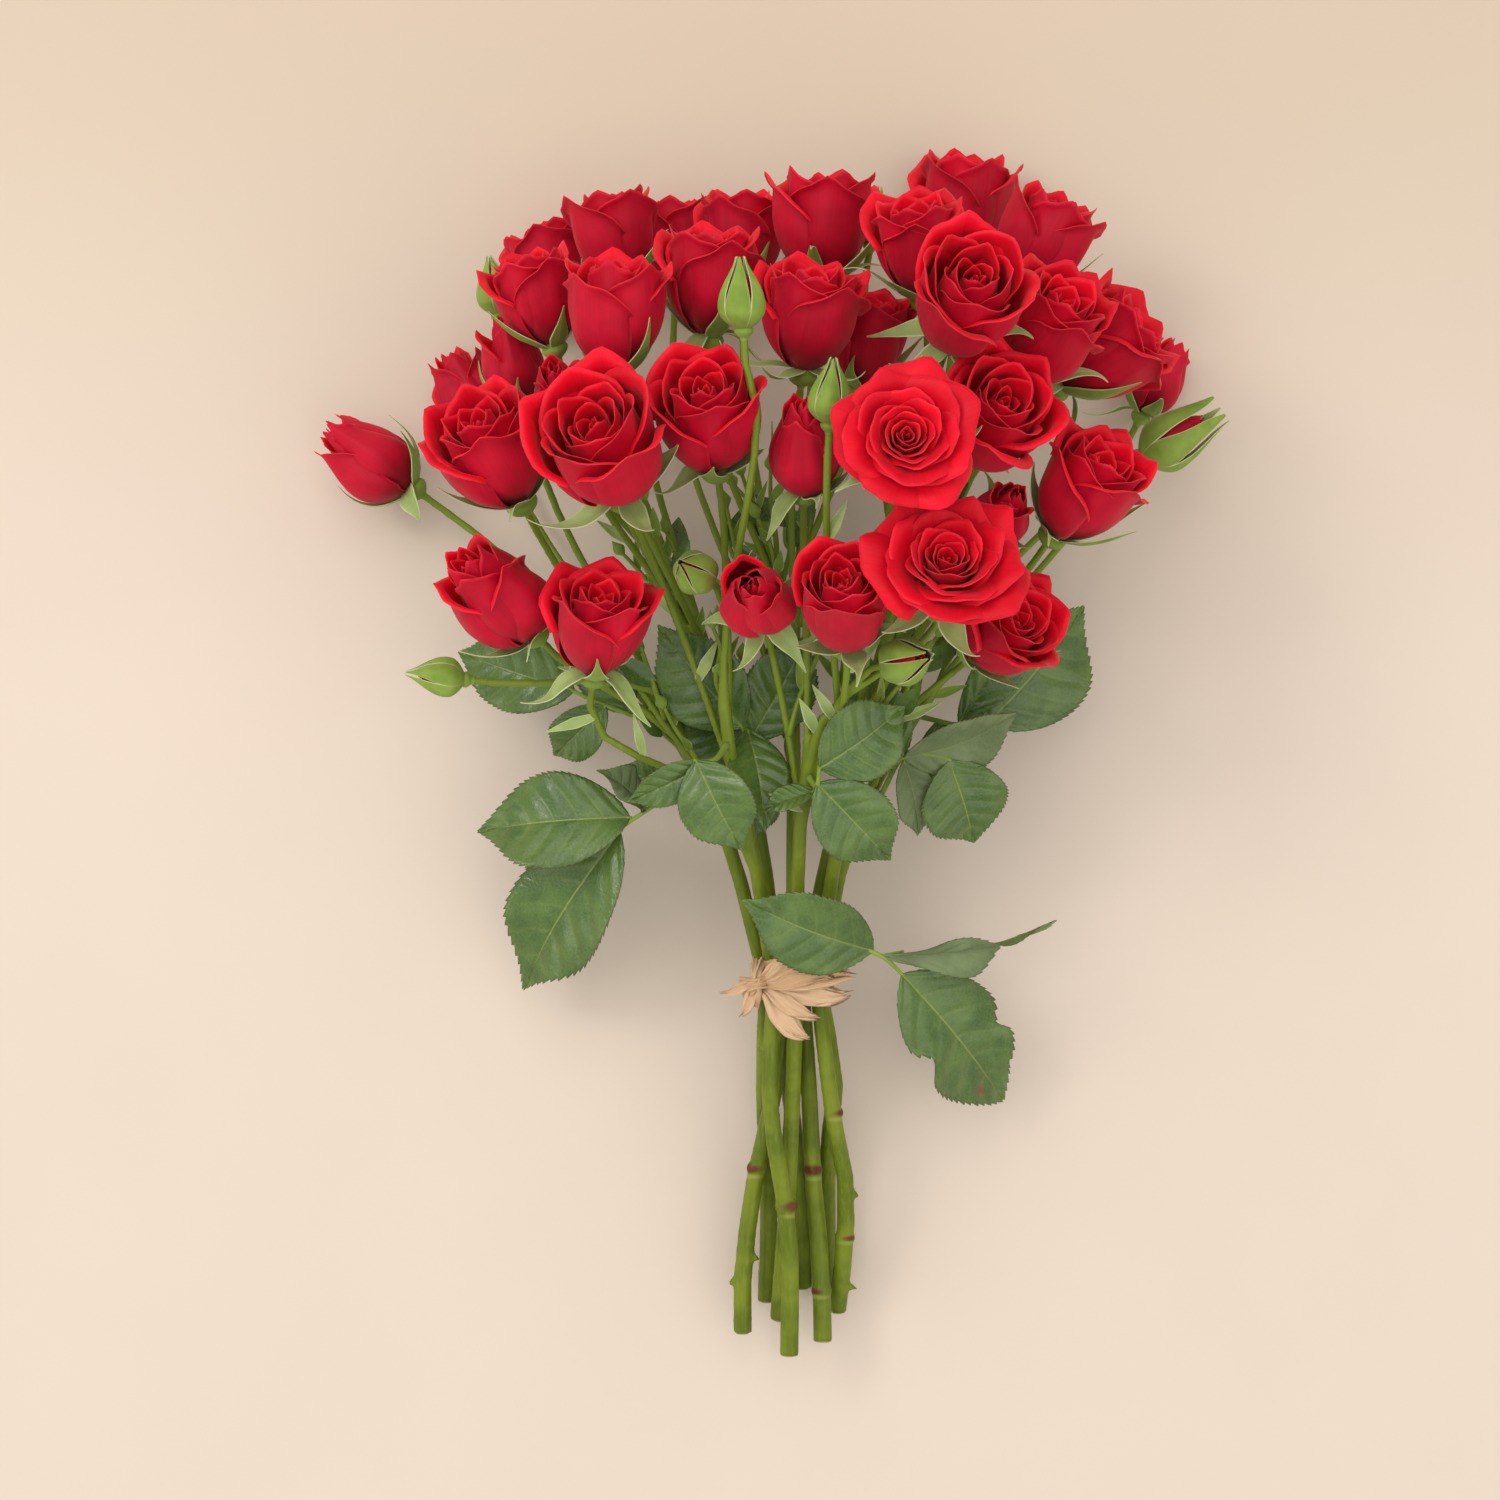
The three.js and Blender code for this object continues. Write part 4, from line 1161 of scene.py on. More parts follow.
# %% Fuse a cane and its swellings into one smooth skin
def fuse(skin, name):
    mesh = bpy.data.meshes.new(name)
    skin.to_mesh(mesh)
    skin.free()
    piece = bpy.data.objects.new(name, mesh)
    bpy.context.collection.objects.link(piece)
    remesh = piece.modifiers.new("one skin", "REMESH")
    remesh.mode = "VOXEL"
    remesh.voxel_size = VOXEL * MM
    remesh.use_smooth_shade = True
    smooth = piece.modifiers.new("rounded", "SMOOTH")
    smooth.factor = 0.5
    smooth.iterations = 9
    baked = bpy.data.meshes.new_from_object(
        piece.evaluated_get(bpy.context.evaluated_depsgraph_get())
    )
    piece.modifiers.clear()
    piece.data = baked
    places = np.empty(len(baked.vertices) * 3)
    baked.vertices.foreach_get("co", places)
    normals = np.empty(len(baked.vertices) * 3)
    baked.vertex_normals.foreach_get("vector", normals)
    baked.vertices.foreach_set("co", places + normals * PUSHED_OUT * MM)
    return piece


# %% Mark the skin: cut end, scars, the pale line under a scar, and the young stalks
def mark_skin(mesh, points, marks):
    own = points_of(mesh)
    low_end = own[own[:, 1] < own[:, 1].min() + 2.5].mean(0)
    beyond, _ = cane_at(points, low_end[1] + 14)
    depth = (own - low_end) @ unit(low_end - beyond)
    face = depth[own[:, 1] < low_end[1] + 6].max()
    cut = ease((depth - (face - 0.9)) / 0.5)
    scar = 0.4 * ease((depth - (face - 2.6)) / 1.8)
    pale = np.zeros(len(own))
    for middle, reach, sideways, squash in marks:
        apart = own - middle
        near = np.linalg.norm(apart * [sideways, squash, sideways], axis=1)
        scar = np.maximum(scar, 1.0 - ease((near - 0.42 * reach) / (0.58 * reach)))
        if squash > 1:
            below = apart + [0, 0.62 * reach, 0]
            under = np.linalg.norm(below * [0.5 * sideways, 2.4, 0.5 * sideways], axis=1)
            pale = np.maximum(pale, 0.55 * (1.0 - ease((under - 0.8) / 2.6)))
    young = 0.75 * ease((own[:, 1] - 10.0) / 130.0)
    scar = np.where(cut > 0.5, 0.0, scar)
    write_marks(mesh, {"cut": cut, "scar": scar, "young": young, "pale": pale})


# %% Dress every stem
FINE_WELD = 1e-6  # metres


def dress_stem(node):
    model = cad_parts[node].data
    points = points_of(model)
    skin = bmesh.new()
    skin.from_mesh(model)
    bmesh.ops.remove_doubles(skin, verts=skin.verts, dist=FINE_WELD)
    marks = swell(skin, node, points)
    piece = fuse(skin, node + "_skin")
    mesh = piece.data
    mark_skin(mesh, points, marks)
    mesh.materials.clear()
    mesh.materials.append(STEM_SKIN)
    mesh.polygons.foreach_set("material_index", np.zeros(len(mesh.polygons), int))
    mesh.shade_smooth()
    mesh.update()
    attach(piece, "root")
    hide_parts(node)
    return piece


stem_pieces = [dress_stem(n) for n in sorted(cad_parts) if n.startswith("stem")]
skin_points = {p.name.removesuffix("_skin"): points_of(p.data) for p in stem_pieces}
print("stems:", len(stem_pieces))
print("points in them:", sum(len(p.data.vertices) for p in stem_pieces))

# %% [markdown]
# ## Leaves
#
# A rose leaf is compound: several leaflets on one stalk. Each leaflet below has the
# same base, tip, facing and width as its plate in the model. The grid follows the
# plate's middle and adds what a plate lacks: saw teeth that point forward, a folded
# midrib, side veins that curve towards the tip, and the blade puffed up between
# them.

# %% The leaves, as in the model
LEAVES = {
    "leaf_1": {
        "stem": "stem_3",
        "stalk": [(-38, 80, 68), (-52, 72, 64), (-67, 62, 58)],
        "leaflets": [
            ((-66, 61, 58), (-107, -4, 22), (-0.3, 0.2, 0.93), 43, 0.16, 7),
            ((-62, 67, 60), (-124, 61, 42), (-0.1, 0.2, 0.96), 38, 0.14, 7),
            ((-56, 70, 63), (-74, 86, 84), (0.7, 0.3, 0.6), 15, 0.4, 3),
            ((-44, 77, 67), (-64, 88, 60), (-0.2, -0.4, 0.9), 20, 0.3, 2),
        ],
    },
    "leaf_2": {
        "stem": "stem_4",
        "stalk": [(26, 18, 62), (34, 14, 64), (41, 10, 62), (48, 3, 56)],
        "leaflets": [
            ((47, 4, 57), (90, -50, 20), (-0.1, 0.4, 0.9), 43, 0.12, 6),
            ((35, 14, 64), (-17, 35, 82), (-0.15, -0.25, 0.96), 33, 0.14, 5),
            ((39, 12, 63), (109, 25, 50), (0.1, -0.7, 0.7), 15, 0.5, 6),
        ],
    },
    "leaf_3": {
        "stem": "stem_1",
        "stalk": [(-28, 90, 98), (-36, 90, 101)],
        "leaflets": [
            ((-35, 90, 101), (-17, 55, 93), (-0.1, -0.15, 0.98), 29, 0.16, 4),
            ((-29, 90, 99), (-62, 74, 88), (-0.3, -0.5, 0.8), 15, 0.3, 3),
        ],
    },
    "leaf_4": {
        "stem": "stem_2",
        "stalk": [(12, 80, 97), (13, 88, 101)],
        "leaflets": [
            ((13, 87, 101), (46, 111, 96), (0.1, -0.35, 0.93), 31, 0.12, 3),
            ((12, 81, 98), (41, 51, 84), (0.15, -0.15, 0.97), 30, 0.14, 5),
            ((11, 78, 95), (-9, 70, 96), (0.1, 0.5, 0.86), 10, 0.4, 2),
        ],
    },
    "leaf_5": {
        "stem": "stem_5",
        "stalk": [(38, 76, 66), (47, 92, 70), (58, 92, 71), (66, 90, 70)],
        "leaflets": [
            ((47, 91, 71), (92, 109, 64), (0.1, -0.6, 0.78), 26, 0.3, 5),
            ((65, 90, 70), (76, 57, 52), (0.2, -0.2, 0.95), 34, 0.1, 4),
            ((47, 90, 70), (53, 60, 60), (0.5, -0.2, 0.84), 18, 0.3, 3),
            ((47, 92, 71), (24, 128, 74), (-0.1, -0.2, 0.97), 26, 0.1, 4),
        ],
    },
    "leaf_6": {
        "stem": "stem_6",
        "stalk": [(52, 108, 52), (70, 104, 52), (82, 104, 52)],
        "leaflets": [
            ((81, 104, 52), (121, 152, 42), (0.15, -0.2, 0.96), 44, 0.1, 6),
            ((70, 105, 52), (102, 160, 64), (0.3, -0.3, 0.9), 20, 0.3, 4),
            ((62, 106, 52), (66, 74, 30), (0.1, -0.2, 0.96), 24, 0.2, 4),
        ],
    },
    "leaf_7": {
        "stem": "stem_7",
        "stalk": [(-46, 104, 46), (-72, 112, 48), (-86, 118, 48)],
        "leaflets": [
            ((-85, 118, 48), (-133, 134, 30), (-0.1, -0.1, 0.98), 31, 0.12, 5),
            ((-72, 112, 48), (-94, 92, 32), (-0.2, -0.3, 0.9), 20, 0.3, 5),
            ((-62, 109, 47), (-84, 146, 38), (-0.1, -0.1, 0.98), 24, 0.2, 4),
        ],
    },
    "leaf_8": {
        "stem": "stem_8",
        "stalk": [(-8, 88, 60), (-14, 98, 68), (-18, 104, 72)],
        "leaflets": [
            ((-17, 103, 72), (-50, 143, 78), (-0.1, -0.3, 0.95), 34, 0.14, 3),
            ((-9, 89, 61), (-12, 58, 57), (-0.3, -0.1, 0.95), 20, 0.15, 3),
            ((-14, 98, 68), (9, 140, 72), (0.1, -0.2, 0.97), 28, 0.1, 4),
            ((-9, 89, 61), (-46, 114, 55), (0.1, -0.1, 0.98), 26, 0.1, 3),
            ((-15, 102, 71), (-8, 62, 86), (0.25, 0.3, 0.92), 23, 0.15, 4),
        ],
    },
}
print("leaflets:", sum(len(leaf["leaflets"]) for leaf in LEAVES.values()))

# %% Grow one leaflet as a grid
LEAF_ROWS = 145
LEAF_COLUMNS = 27
LEAF_THICKNESS = 0.32
TEETH = 24
VEINS = 6.5


def leaflet(base, tip, face, width, cup, arch, rng, notches=(), ruffle=0.05,
            point=0.5, tail=0.0):
    base, tip = np.array(base, float), np.array(tip, float)
    run = tip - base
    side = unit(np.cross(run, unit(face)))
    up = unit(np.cross(side, run))
    t, s = rows_of(LEAF_ROWS), columns_of(LEAF_COLUMNS)
    s = np.sign(s) * np.abs(s) ** 1.4  # columns stand closer near the midrib
    half = 0.54 * width * np.sin(math.pi * t**0.79) ** 0.82
    half = half * (1.0 - point * ease((t - 0.62) / 0.38))
    half = half * (1.0 - tail * ease((t - 0.42) / 0.25))
    half = np.maximum(half, 0.45 * (1 - ease((t - 0.93) / 0.07)) + 0.05)
    for flank, at, depth, spread in notches:
        bitten = np.exp(-(((t - at) / spread) ** 2)) * (s * flank > 0)
        half = half * (1.0 - depth * bitten)
    saw = (TEETH * t**0.92) % 1.0
    bite = 0.055 * (1.0 - saw) * ease(t / 0.12) * ease((1.0 - t) / 0.05)
    reach = 1.0 - bite * np.abs(s) ** 8
    across = s * half * reach
    forward = 0.018 * np.abs(s) ** 8 * saw + 0.05 * np.abs(s) ** 2 * np.sin(math.pi * t)
    ribs = VEINS * (t - 0.20 * np.abs(s) ** 1.25 * (1 - 0.5 * t))
    rib = (0.5 + 0.5 * np.cos(2 * math.pi * ribs)) ** 24 * (1 - np.abs(s) ** 4)
    rib = rib * ease(t / 0.08)
    puff = 0.62 * np.sin(math.pi * ribs) ** 2 * np.sin(math.pi * np.abs(s))
    midrib = np.exp(-((across / (0.40 - 0.22 * t)) ** 2))
    phase = rng.uniform(0, 2 * math.pi, 2)
    wavy = ruffle * width * np.abs(s) ** 2.2 * (
        np.sin(2 * math.pi * 1.6 * t + phase[0] + 1.5 * np.sign(s))
    ) * np.sin(math.pi * t)
    twist = rng.uniform(-0.22, 0.22) * np.sin(0.5 * math.pi * t)
    lift = (
        arch * np.sin(math.pi * t)
        + cup * half * np.abs(s)
        + puff
        - 0.30 * rib
        - 0.30 * midrib
        + wavy
        + across * twist
    )
    grid = (
        base
        + run * (t + forward)[..., None]
        + side * across[..., None]
        + up * lift[..., None]
    )
    vein = np.clip(np.maximum(0.85 * midrib, 0.17 * rib), 0, 1)
    edge = np.maximum(np.abs(s) ** 5, np.broadcast_to(t**30, across.shape))
    return grid, {"vein": vein, "edge": edge, "along": t, "across": s}


# A few leaflets differ: one is bitten and blotched, some show their underside.
ODD_ONES = {
    ("leaf_2", 0): {
        "notches": [(1, 0.36, 0.34, 0.07), (-1, 0.52, 0.22, 0.06), (-1, 0.80, 0.12, 0.04)],
        "point": 0.1,
    },
    ("leaf_2", 2): {"ruffle": 0.26, "tail": 0.66},
    ("leaf_1", 2): {"ruffle": 0.14},
    ("leaf_5", 0): {"ruffle": 0.03},
}
UNDERSIDE_UP = {("leaf_2", 2), ("leaf_1", 2), ("leaf_5", 0), ("leaf_5", 2)}
BLOTCHES = {("leaf_2", 0): (0.80, 0.50)}  # how far along, and how far to the side
BLOTCH_LENGTH, BLOTCH_WIDTH = 0.035, 0.14


def add_stalk(sheets, path, thick, thin, sides):
    radii = np.linspace(thick, thin, len(path))
    sheets.add(
        tube(path + SHIFT, radii, sides=sides),
        wrapped=True,
        along=rows_of(len(path) + 2),
        across=0.0,
        edge=0.0,
        tone=0.3,
    )


# %% Grow every leaf: its leaflets, then its stalk
def grow_leaf(node):
    leaf = LEAVES[node]
    rng = np.random.default_rng(hash_name(node))
    blades = Sheets()
    for number, row in enumerate(leaf["leaflets"]):
        key = (node, number)
        grid, marks = leaflet(*row, rng, **ODD_ONES.get(key, {}))
        marks["scar"] = np.zeros(grid.shape[:2])
        if key in BLOTCHES:
            at, aside = BLOTCHES[key]
            long = (marks["along"] - at) / BLOTCH_LENGTH
            wide = (marks["across"] - aside) / BLOTCH_WIDTH
            marks["scar"] = np.exp(-(long**2 + wide**2))
        marks = {k: np.broadcast_to(v, grid.shape[:2]) for k, v in marks.items()}
        if key in UNDERSIDE_UP:
            grid = grid[:, ::-1]
            marks = {k: v[:, ::-1] for k, v in marks.items()}
        blades.add(grid + SHIFT, tone=float(rng.uniform(0, 1)), **marks)
    piece = blades.build(node + "_leaflets", [LEAF_TOP, LEAF_UNDER])
    thicken(piece, LEAF_THICKNESS, back=1)
    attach(piece, "root")
    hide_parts(node)

    skin = skin_points[leaf["stem"]]
    foot = skin[np.argmin(np.linalg.norm(skin - leaf["stalk"][0], axis=1))]
    stalks = Sheets()
    path = smooth_path([foot, *leaf["stalk"]], 26)
    add_stalk(stalks, path, 1.35, 0.75, sides=10)
    for base, tip, *_ in leaf["leaflets"]:
        base, tip = np.array(base, float), np.array(tip, float)
        near = path[np.argmin(np.linalg.norm(path - base, axis=1))]
        short = smooth_path([near, base, base + 0.12 * (tip - base)], 8)
        add_stalk(stalks, short, 0.8, 0.5, sides=8)
    rail = stalks.build(node + "_stalk", [SEPAL_OUTER])
    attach(rail, "root")
    return piece


leaf_pieces = [grow_leaf(node) for node in LEAVES]
print("leaves:", len(leaf_pieces))

# %% [markdown]
# ## Bracts
#
# Where a flower stalk forks off, a small pale leaf called a bract stands in the
# fork. They are easy to forget, and without them the bare stalks look like wire.
# Each one is placed on the skin of a stem: the highest point of the skin near a
# chosen spot, so that the bract is seen from the front.

# %% Bracts on the stalks
BRACT_THICKNESS = 0.28
# foot x and y, tip x and y, rise of the tip, width
BRACTS = [
    (11, 99, 4, 112, 5, 5.0),
    (17, 105, 8, 119, 3, 4.6),
    (48, 105, 64, 112, 2, 4.4),
    (-51, 94, -55, 111, 4, 4.0),
    (-74, 105, -93, 99, 2, 4.6),
    (6, 69, -8, 75, 3, 5.4),
    (-17, 100, -8, 114, 3, 4.8),
    (-36, 118, -28, 134, 4, 5.0),
    (24, 122, 36, 134, 3, 5.0),
    (-52, 140, -62, 152, 3, 4.6),
    (3, 140, -5, 156, 4, 5.2),
    (-20, 150, -10, 166, 4, 5.0),
    (34, 150, 42, 166, 3, 4.6),
    (-38, 160, -48, 174, 3, 4.6),
    (12, 170, 20, 186, 3, 4.8),
    (60, 170, 72, 180, 2, 4.6),
    (-66, 172, -78, 180, 2, 4.4),
    (-8, 186, -16, 200, 3, 4.6),
]
all_skin = np.concatenate(list(skin_points.values()))


def skin_under(x, y):
    """The highest skin point close to one spot."""
    near = np.hypot(all_skin[:, 0] - x, all_skin[:, 1] - y)
    close = all_skin[near < near.min() + 2.0]
    return close[np.argmax(close[:, 2])]


def grow_bracts():
    rng = np.random.default_rng(41)
    sheets = Sheets()
    t, s = rows_of(15), columns_of(7)
    for x, y, tip_x, tip_y, rise, width in BRACTS:
        foot = skin_under(x, y) - [0, 0, 0.8]
        run = np.array([tip_x - x, tip_y - y, 0.0])
        side = unit(np.cross(run, [0, 0, 1]))
        taper = np.interp(t, [0, 0.15, 0.4, 0.75, 1], [0.55, 0.8, 1.0, 0.5, 0.04])
        half = 0.5 * width * taper
        curl = rng.uniform(-1.5, 3.5)
        up = rise * np.sin(0.5 * math.pi * t) + curl * t**3 + 0.3 * half * np.abs(s)
        grid = (
            foot
            + run * t[..., None]
            + side * (half * s)[..., None]
            + np.array([0, 0, 1.0]) * up[..., None]
        )
        sheets.add(grid + SHIFT, along=t, across=s, edge=np.abs(s) ** 3,
                   tone=float(rng.uniform(0, 1)))
    piece = sheets.build("bracts", [SEPAL_INNER, SEPAL_OUTER])
    soften(piece)
    thicken(piece, BRACT_THICKNESS, back=1)
    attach(piece, "root")
    return piece


bracts = grow_bracts()
print("bracts:", len(BRACTS))

# %% [markdown]
# ## Side shoots
#
# Between the flower stalks a real spray has thin shoots that never bloomed. Each is
# a twig with a bead of a bud and a pair of tiny leaves. They fill the middle of the
# bunch, where bare canes alone would look too tidy. Where each one stands is left to
# chance, from a fixed seed, and one that would enter a bloom is drawn again.


# %% Thin shoots in the middle of the bunch
SHOOTS = 64
SHOOT_SPACE = ((-74, 92), (60, 226), (8, 104))  # where they may grow, in x, y and z


def room_for(points):
    """Whether all the points stay inside the bunch and clear of every bloom."""
    for point in points:
        if any(not low < x < high for x, (low, high) in zip(point, SHOOT_SPACE)):
            return False
        for bloom in blooms:
            centre = bloom["seat"] + 0.5 * bloom["length"] * bloom["axis"] - SHIFT
            if np.linalg.norm(point - centre) < 1.15 * bloom["radius"] + 4.0:
                return False
    return True


def small_leaf(at, aim, long, wide, curl):
    """A narrow leaf as a grid of nine rows and five columns."""
    t, s = rows_of(9), columns_of(5)
    side = unit(np.cross(aim, [0.1, 0.1, 1.0]))
    up = np.cross(side, aim)
    half = wide * np.interp(t, [0, 0.3, 0.7, 1], [0.4, 1.0, 0.6, 0.05])
    grid = (
        at
        + aim * (long * t)[..., None]
        + side * (half * s)[..., None]
        + up * (0.3 * half * np.abs(s) + curl * t**2)[..., None]
    )
    return grid, {"along": t, "across": s, "edge": np.abs(s) ** 5}


def grow_shoots():
    rng = np.random.default_rng(23)
    stalks, leaves = Sheets(), Sheets()
    start_from = all_skin[(all_skin[:, 1] > 78) & (all_skin[:, 1] < 190)]
    made = 0
    while made < SHOOTS:
        foot = start_from[rng.integers(len(start_from))]
        out = [0.55 * (foot[0] - 3.5) / 40.0, 1.0, 0.3 * (foot[2] - 55.0) / 30.0]
        way = unit(out + rng.uniform(-0.42, 0.42, 3) * [1, 0.2, 0.8])
        size = rng.uniform(24, 62)
        tip = foot + way * size
        bend = np.cross(way, rng.normal(0, 1, 3))
        third = foot + 0.35 * size * way + 1.6 * bend
        path = smooth_path([foot, third, foot + 0.7 * size * way - bend, tip], 14)
        leafy = made % 3 == 0
        pair = []
        for k in (5, 9):
            aim = unit(way + 0.8 * unit(np.cross(way, rng.normal(0, 1, 3))))
            long = rng.uniform(17, 26) if leafy else rng.uniform(9, 17)
            wide = rng.uniform(3.6, 5.4) if leafy else rng.uniform(1.6, 2.8)
            pair.append((path[k], aim, long, wide, rng.uniform(-2, 3)))
        ends = [at + aim * long for at, aim, long, _, _ in pair]
        if not room_for([*path[4:], tip + 7.0 * way, *ends]):
            continue
        made += 1
        twig = tube(path + SHIFT, np.linspace(1.35, 0.75, 14), sides=8)
        stalks.add(twig, wrapped=True, cut=0.0, scar=0.0, pale=0.0, young=0.9)
        bead = tip + np.outer(np.linspace(-0.3, 7.0, 9), way)
        swell = [0.75, 1.5, 2.3, 2.7, 2.5, 1.9, 1.2, 0.6, 0.15]
        leaves.add(tube(bead + SHIFT, swell, sides=10), wrapped=True,
                   along=0.5, across=0.0, edge=0.0, tone=float(rng.uniform(0, 1)))
        for row in pair:
            grid, marks = small_leaf(*row)
            marks["tone"] = float(rng.uniform(0, 1))
            leaves.add(grid + SHIFT, finish=int(leafy), **marks)
    twigs = stalks.build("side_shoots", [STEM_SKIN])
    tips = leaves.build("side_shoot_tips", [SEPAL_OUTER, LEAF_TOP])
    soften(tips)
    for piece, slot in ((twigs, "stem"), (tips, "leaf")):
        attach(piece, "root")
    return twigs, tips


shoots = grow_shoots()
print("side shoots:", SHOOTS)

# %% [markdown]
# ## The raffia tie
#
# Raffia is wound round the stems four times, crossed and knotted at the front, and
# its ends are left to fan out. A ribbon is a long sheet that follows a path. Fine
# pleats along it make it look torn and gathered rather than cut from paper.

# %% Ribbons
TIE_MIDDLE = np.array([3.5, 0.0, 42.0])
TIE_RADIUS = 15.6
RIBBON_COLUMNS = 15
RIBBON_THICKNESS = 0.22


def ribbon(points, widths, faces, pleats, depth, rng, rows=40, torn=0.0):
    """A pleated sheet along a path. faces gives the way its flat side looks."""
    path = smooth_path(points, rows)
    run = np.gradient(path, axis=0)
    run /= np.linalg.norm(run, axis=1)[:, None]
    face = smooth_path(faces, rows)
    side = np.cross(run, face)
    side /= np.linalg.norm(side, axis=1)[:, None]
    face = np.cross(side, run)
    t, s = rows_of(rows), columns_of(RIBBON_COLUMNS)
    width = np.interp(t, np.linspace(0, 1, len(widths)), widths)
    phase = rng.uniform(0, 2 * math.pi)
    fold = depth * np.cos(math.pi * pleats * s + phase + 0.8 * t)
    fold = fold + 0.25 * depth * np.cos(2.7 * math.pi * pleats * s + 2.0 * phase)
    across = 0.5 * width * s
    # A torn end: each fibre stops at its own length.
    short = 1.0 - torn * rng.uniform(0, 1, RIBBON_COLUMNS)[None, :] - 0.5 * torn * s**2
    at = t * short * (rows - 1)
    low = np.minimum(at.astype(int), rows - 2)
    part = (at - low)[..., None]

    def along(values):
        return values[low] * (1 - part) + values[low + 1] * part

    grid = along(path) + along(side) * across[..., None] + along(face) * fold[..., None]
    tone = float(rng.uniform(0, 1))
    return grid, {"along": t * 4.0, "across": s, "edge": 0.0, "tone": tone}


# %% Wind the turns, the knot and the free ends
KNOT = np.array([-15.0, 0.5, 12.5])
FREE_ENDS = [  # where each goes, its width, how high it arches, its pleats
    ((13, 13.0, 18.5), 10.5, 4.0, 2.0),
    ((24, 10.5, 18.5), 11.5, 3.5, 2.2),
    ((26.5, 4.0, 19.5), 10.5, 5.0, 2.0),
    ((25.0, -2.5, 18.0), 10.5, 3.0, 2.2),
    ((18, 2.0, 21.5), 8.0, 4.5, 1.6),
    ((4, 15.0, 19.0), 6.0, 3.0, 1.5),
    ((8, -21.5, 17.0), 10.0, 2.5, 2.0),
    ((12, -13.0, 18.5), 7.0, 3.0, 1.6),
    ((-30.5, -3.5, 10.5), 4.4, 2.0, 1.2),
    ((-22, -13.5, 12.0), 5.2, 1.0, 1.5),
]
UP = (-0.35, 0.0, 0.94)  # out of the bunch at the knot


def wind_raffia():
    rng = np.random.default_rng(7)
    sheets = Sheets()

    def lay(points, widths, faces, pleats=3.0, depth=0.35, rows=40, torn=0.0):
        grid, marks = ribbon(points, widths, faces, pleats, depth, rng, rows, torn)
        sheets.add(grid + TIE_MIDDLE + SHIFT, **marks)

    for turn in range(4):
        turns = np.linspace(0, 2 * math.pi, 25) + 0.4 * turn
        slant = (-1) ** turn * 2.2
        centre = -4.5 + 3.0 * turn
        radius = TIE_RADIUS + 0.35 + 0.35 * turn
        ring = []
        for a in turns:
            y = centre + slant * math.sin(a + turn)
            ring.append((radius * math.cos(a), y, radius * math.sin(a)))
        out = [(math.cos(a), 0, math.sin(a)) for a in turns]
        lay(ring, [6.5, 7.5, 6.0, 7.0, 6.5], out, pleats=4.0, depth=0.28, rows=72)
    for k, (dx, dy) in enumerate([(3.5, 8.0), (5.5, 4.0), (1.0, 8.5), (6.0, 1.0)]):
        start = KNOT + [-dx, -dy, -3.5]
        end = KNOT + [dx, dy, -1.5]
        top = KNOT + [0.0, 0.0, 3.2 + 0.6 * k]
        rise = np.array([0, 0, 1.6])
        lay(
            [start, 0.5 * (start + top) + rise, top, 0.5 * (end + top) + rise, end],
            [6.5, 5.4, 4.2, 5.4, 7.0],
            [(-0.8, -0.3, 0.4), UP, UP, (0.5, 0.3, 0.7), (0.7, 0.3, 0.3)],
            pleats=2.5,
            depth=0.6,
        )
    for to, width, rise, pleats in FREE_ENDS:
        to = np.array(to, float)
        run = to - KNOT
        bend = np.array([-run[1], run[0], 0.0]) * rng.uniform(-0.10, 0.10)
        lift = np.array([0, 0, rise])
        lay(
            [
                KNOT + 0.06 * run,
                KNOT + 0.25 * run + 0.8 * lift,
                KNOT + 0.55 * run + lift + bend,
                KNOT + 0.82 * run + 0.6 * lift + bend,
                to,
            ],
            [3.0, 0.60 * width, width, 0.90 * width, 0.30 * width],
            [(0, 0, 1), (0.1, 0.15, 1), (-0.1, -0.1, 1), (0.1, 0.2, 1), (0.3, -0.2, 1)],
            pleats=pleats,
            depth=0.50,
            torn=0.24,
        )
    piece = sheets.build("raffia_ribbons", [RAFFIA])
    thicken(piece, RIBBON_THICKNESS)
    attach(piece, "root")
    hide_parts("raffia_tie")
    return piece


raffia = wind_raffia()
print("points in the raffia:", len(raffia.data.vertices))
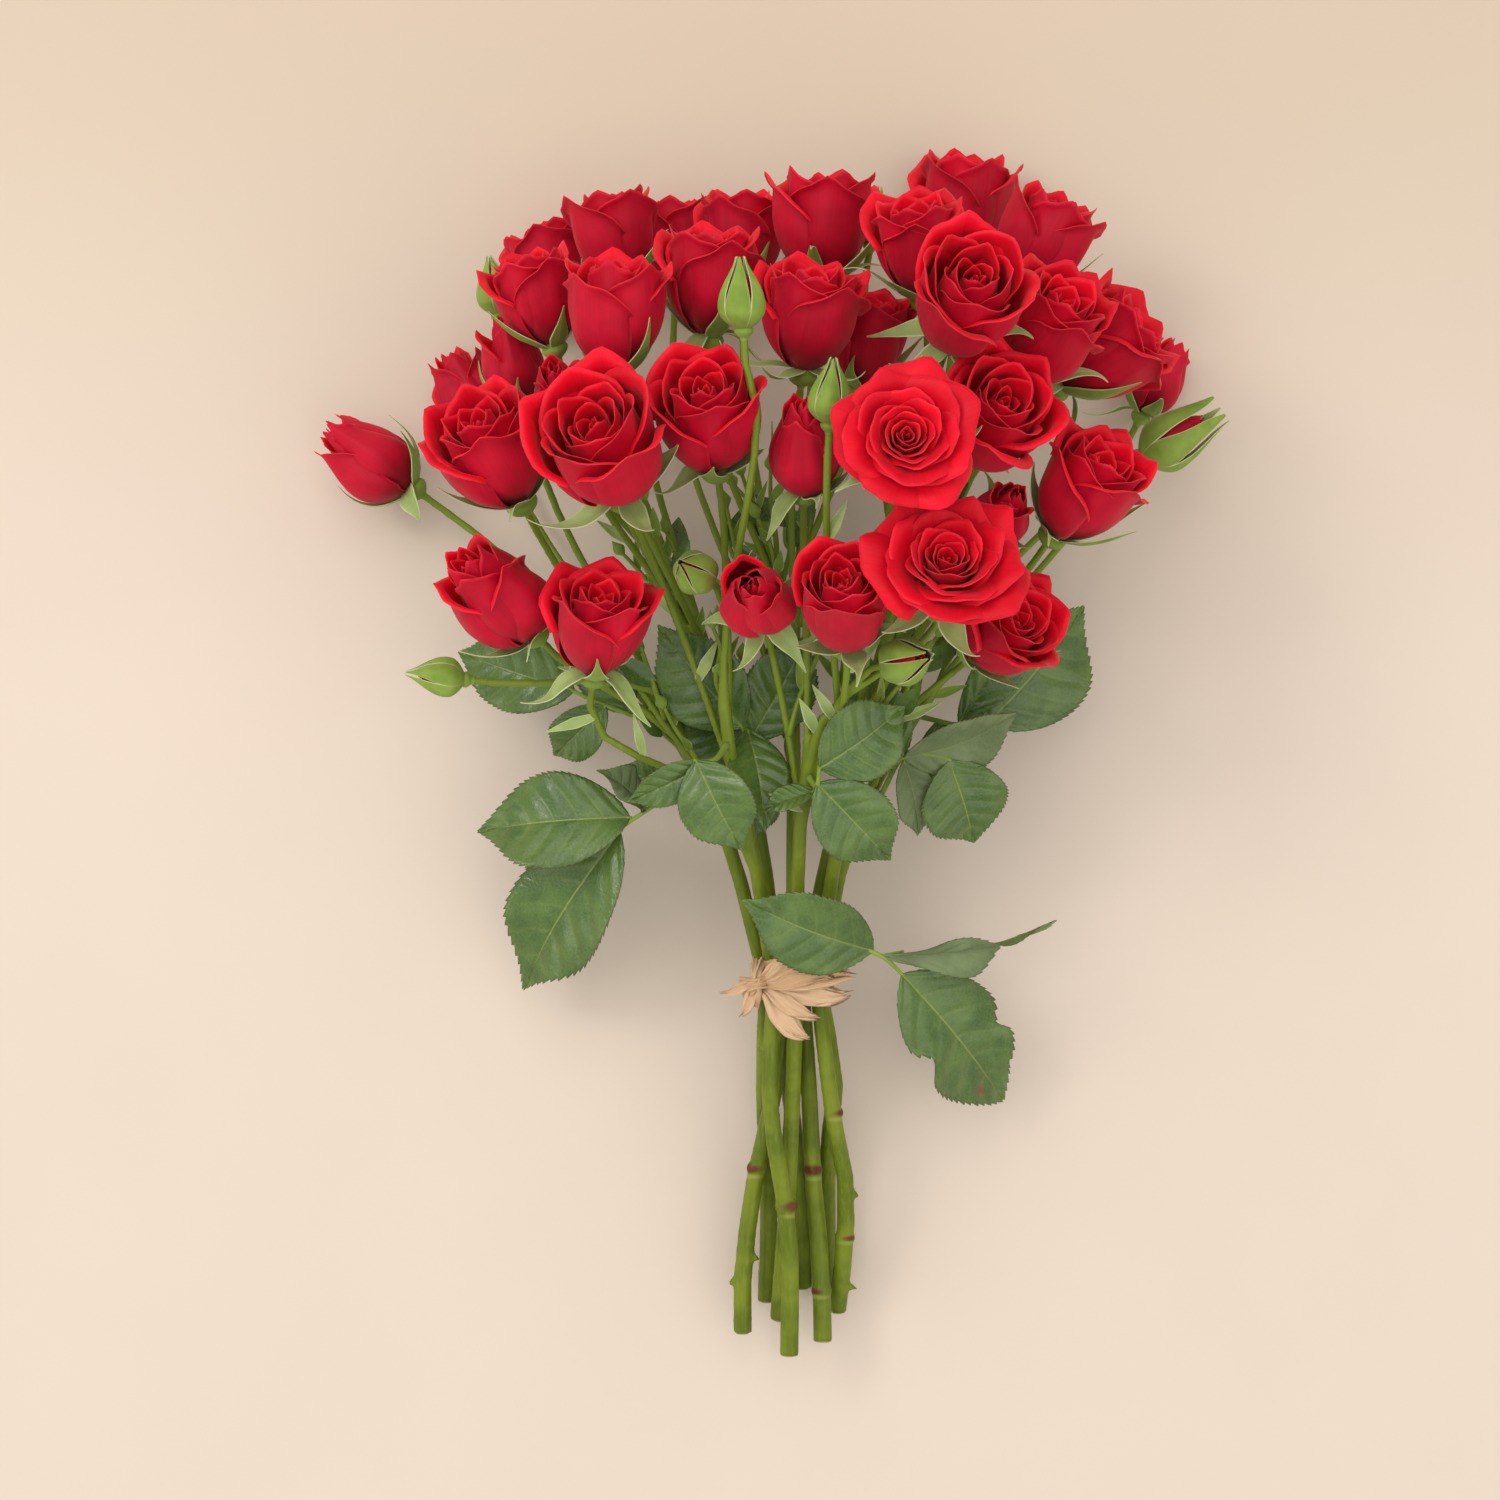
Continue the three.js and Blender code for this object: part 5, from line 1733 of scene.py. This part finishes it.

# %% [markdown]
# ## The table and the light
#
# The table is a plain warm beige, painted darker towards its far end: painted shade,
# as if less light reached it there. One large soft light hangs towards the head of
# the bunch, as a window would. Two small lights on its left give the waxy leaves
# their gloss, a broad one fills in from the right, and the surroundings add an even
# warm glow so that no shadow is black.


# %% Table
PAPER = (0.740, 0.630, 0.535), (0.752, 0.640, 0.545)
# The far colour is painted shade: the paper darkens towards the far end, as if less light
# reached it.
PAPER_FAR_SHADE = (0.640, 0.520, 0.395)
SHADE_PAINTED_OVER = (0.0, 0.42)  # metres beyond the middle of the table
TABLE_SIZE = 30.0


def table_finish():
    look = Finish("table_paper", roughness=0.85, Specular_IOR_Level=0.1)
    grain = look.noise(look.place(), 9.0, detail=2.0)
    paper = look.mix(look.between(grain, 0.3, 0.7), *PAPER)
    apart = look.node("ShaderNodeSeparateXYZ")
    look.join(look.place(), apart.inputs[0])
    # Painted shade: the table turns darker towards its far end.
    far_shade = look.between(apart.outputs[1], *SHADE_PAINTED_OVER)
    look.colour(look.mix(far_shade, paper, PAPER_FAR_SHADE))
    return look.material


bpy.ops.mesh.primitive_plane_add(size=TABLE_SIZE, location=(0.0, 0.0, 0.0))
table = bpy.context.object
table.name = "table_top"
table.data.materials.append(table_finish())
print("table:", table.name)


# %% Lights
LIT_SPOT = Vector((0.0, 0.02, 0.05))  # every light looks at the middle of the bunch
DAYLIGHT = (1.0, 0.985, 0.96)
WARM = (1.0, 0.97, 0.94)
LIGHTS = [  # name, place, size, power, colour
    ("window", (-0.60, 0.80, 1.95), 2.6, 18.0, DAYLIGHT),
    ("glint", (-1.45, 0.85, 1.85), 0.7, 8.0, DAYLIGHT),
    ("low_left", (-2.2, -0.5, 1.05), 0.8, 4.0, DAYLIGHT),
    ("fill", (1.1, -0.7, 1.8), 2.4, 11.0, WARM),
]
ROOM_GLOW = (1.0, 0.97, 0.93, 1.0)
ROOM_STRENGTH = 0.70


def soft_light(name, where, size, power, colour):
    light = bpy.data.lights.new(name, "AREA")
    light.shape = "DISK"
    light.size = size
    light.energy = power
    light.color = colour
    lamp = bpy.data.objects.new(name, light)
    lamp.location = where
    aim = LIT_SPOT - Vector(where)
    lamp.rotation_euler = aim.to_track_quat("-Z", "Y").to_euler()
    bpy.context.collection.objects.link(lamp)


for row in LIGHTS:
    soft_light(*row)
world = bpy.data.worlds.new("room")
world.use_nodes = True
glow = world.node_tree.nodes["Background"]
glow.inputs["Color"].default_value = ROOM_GLOW
glow.inputs["Strength"].default_value = ROOM_STRENGTH
bpy.context.scene.world = world
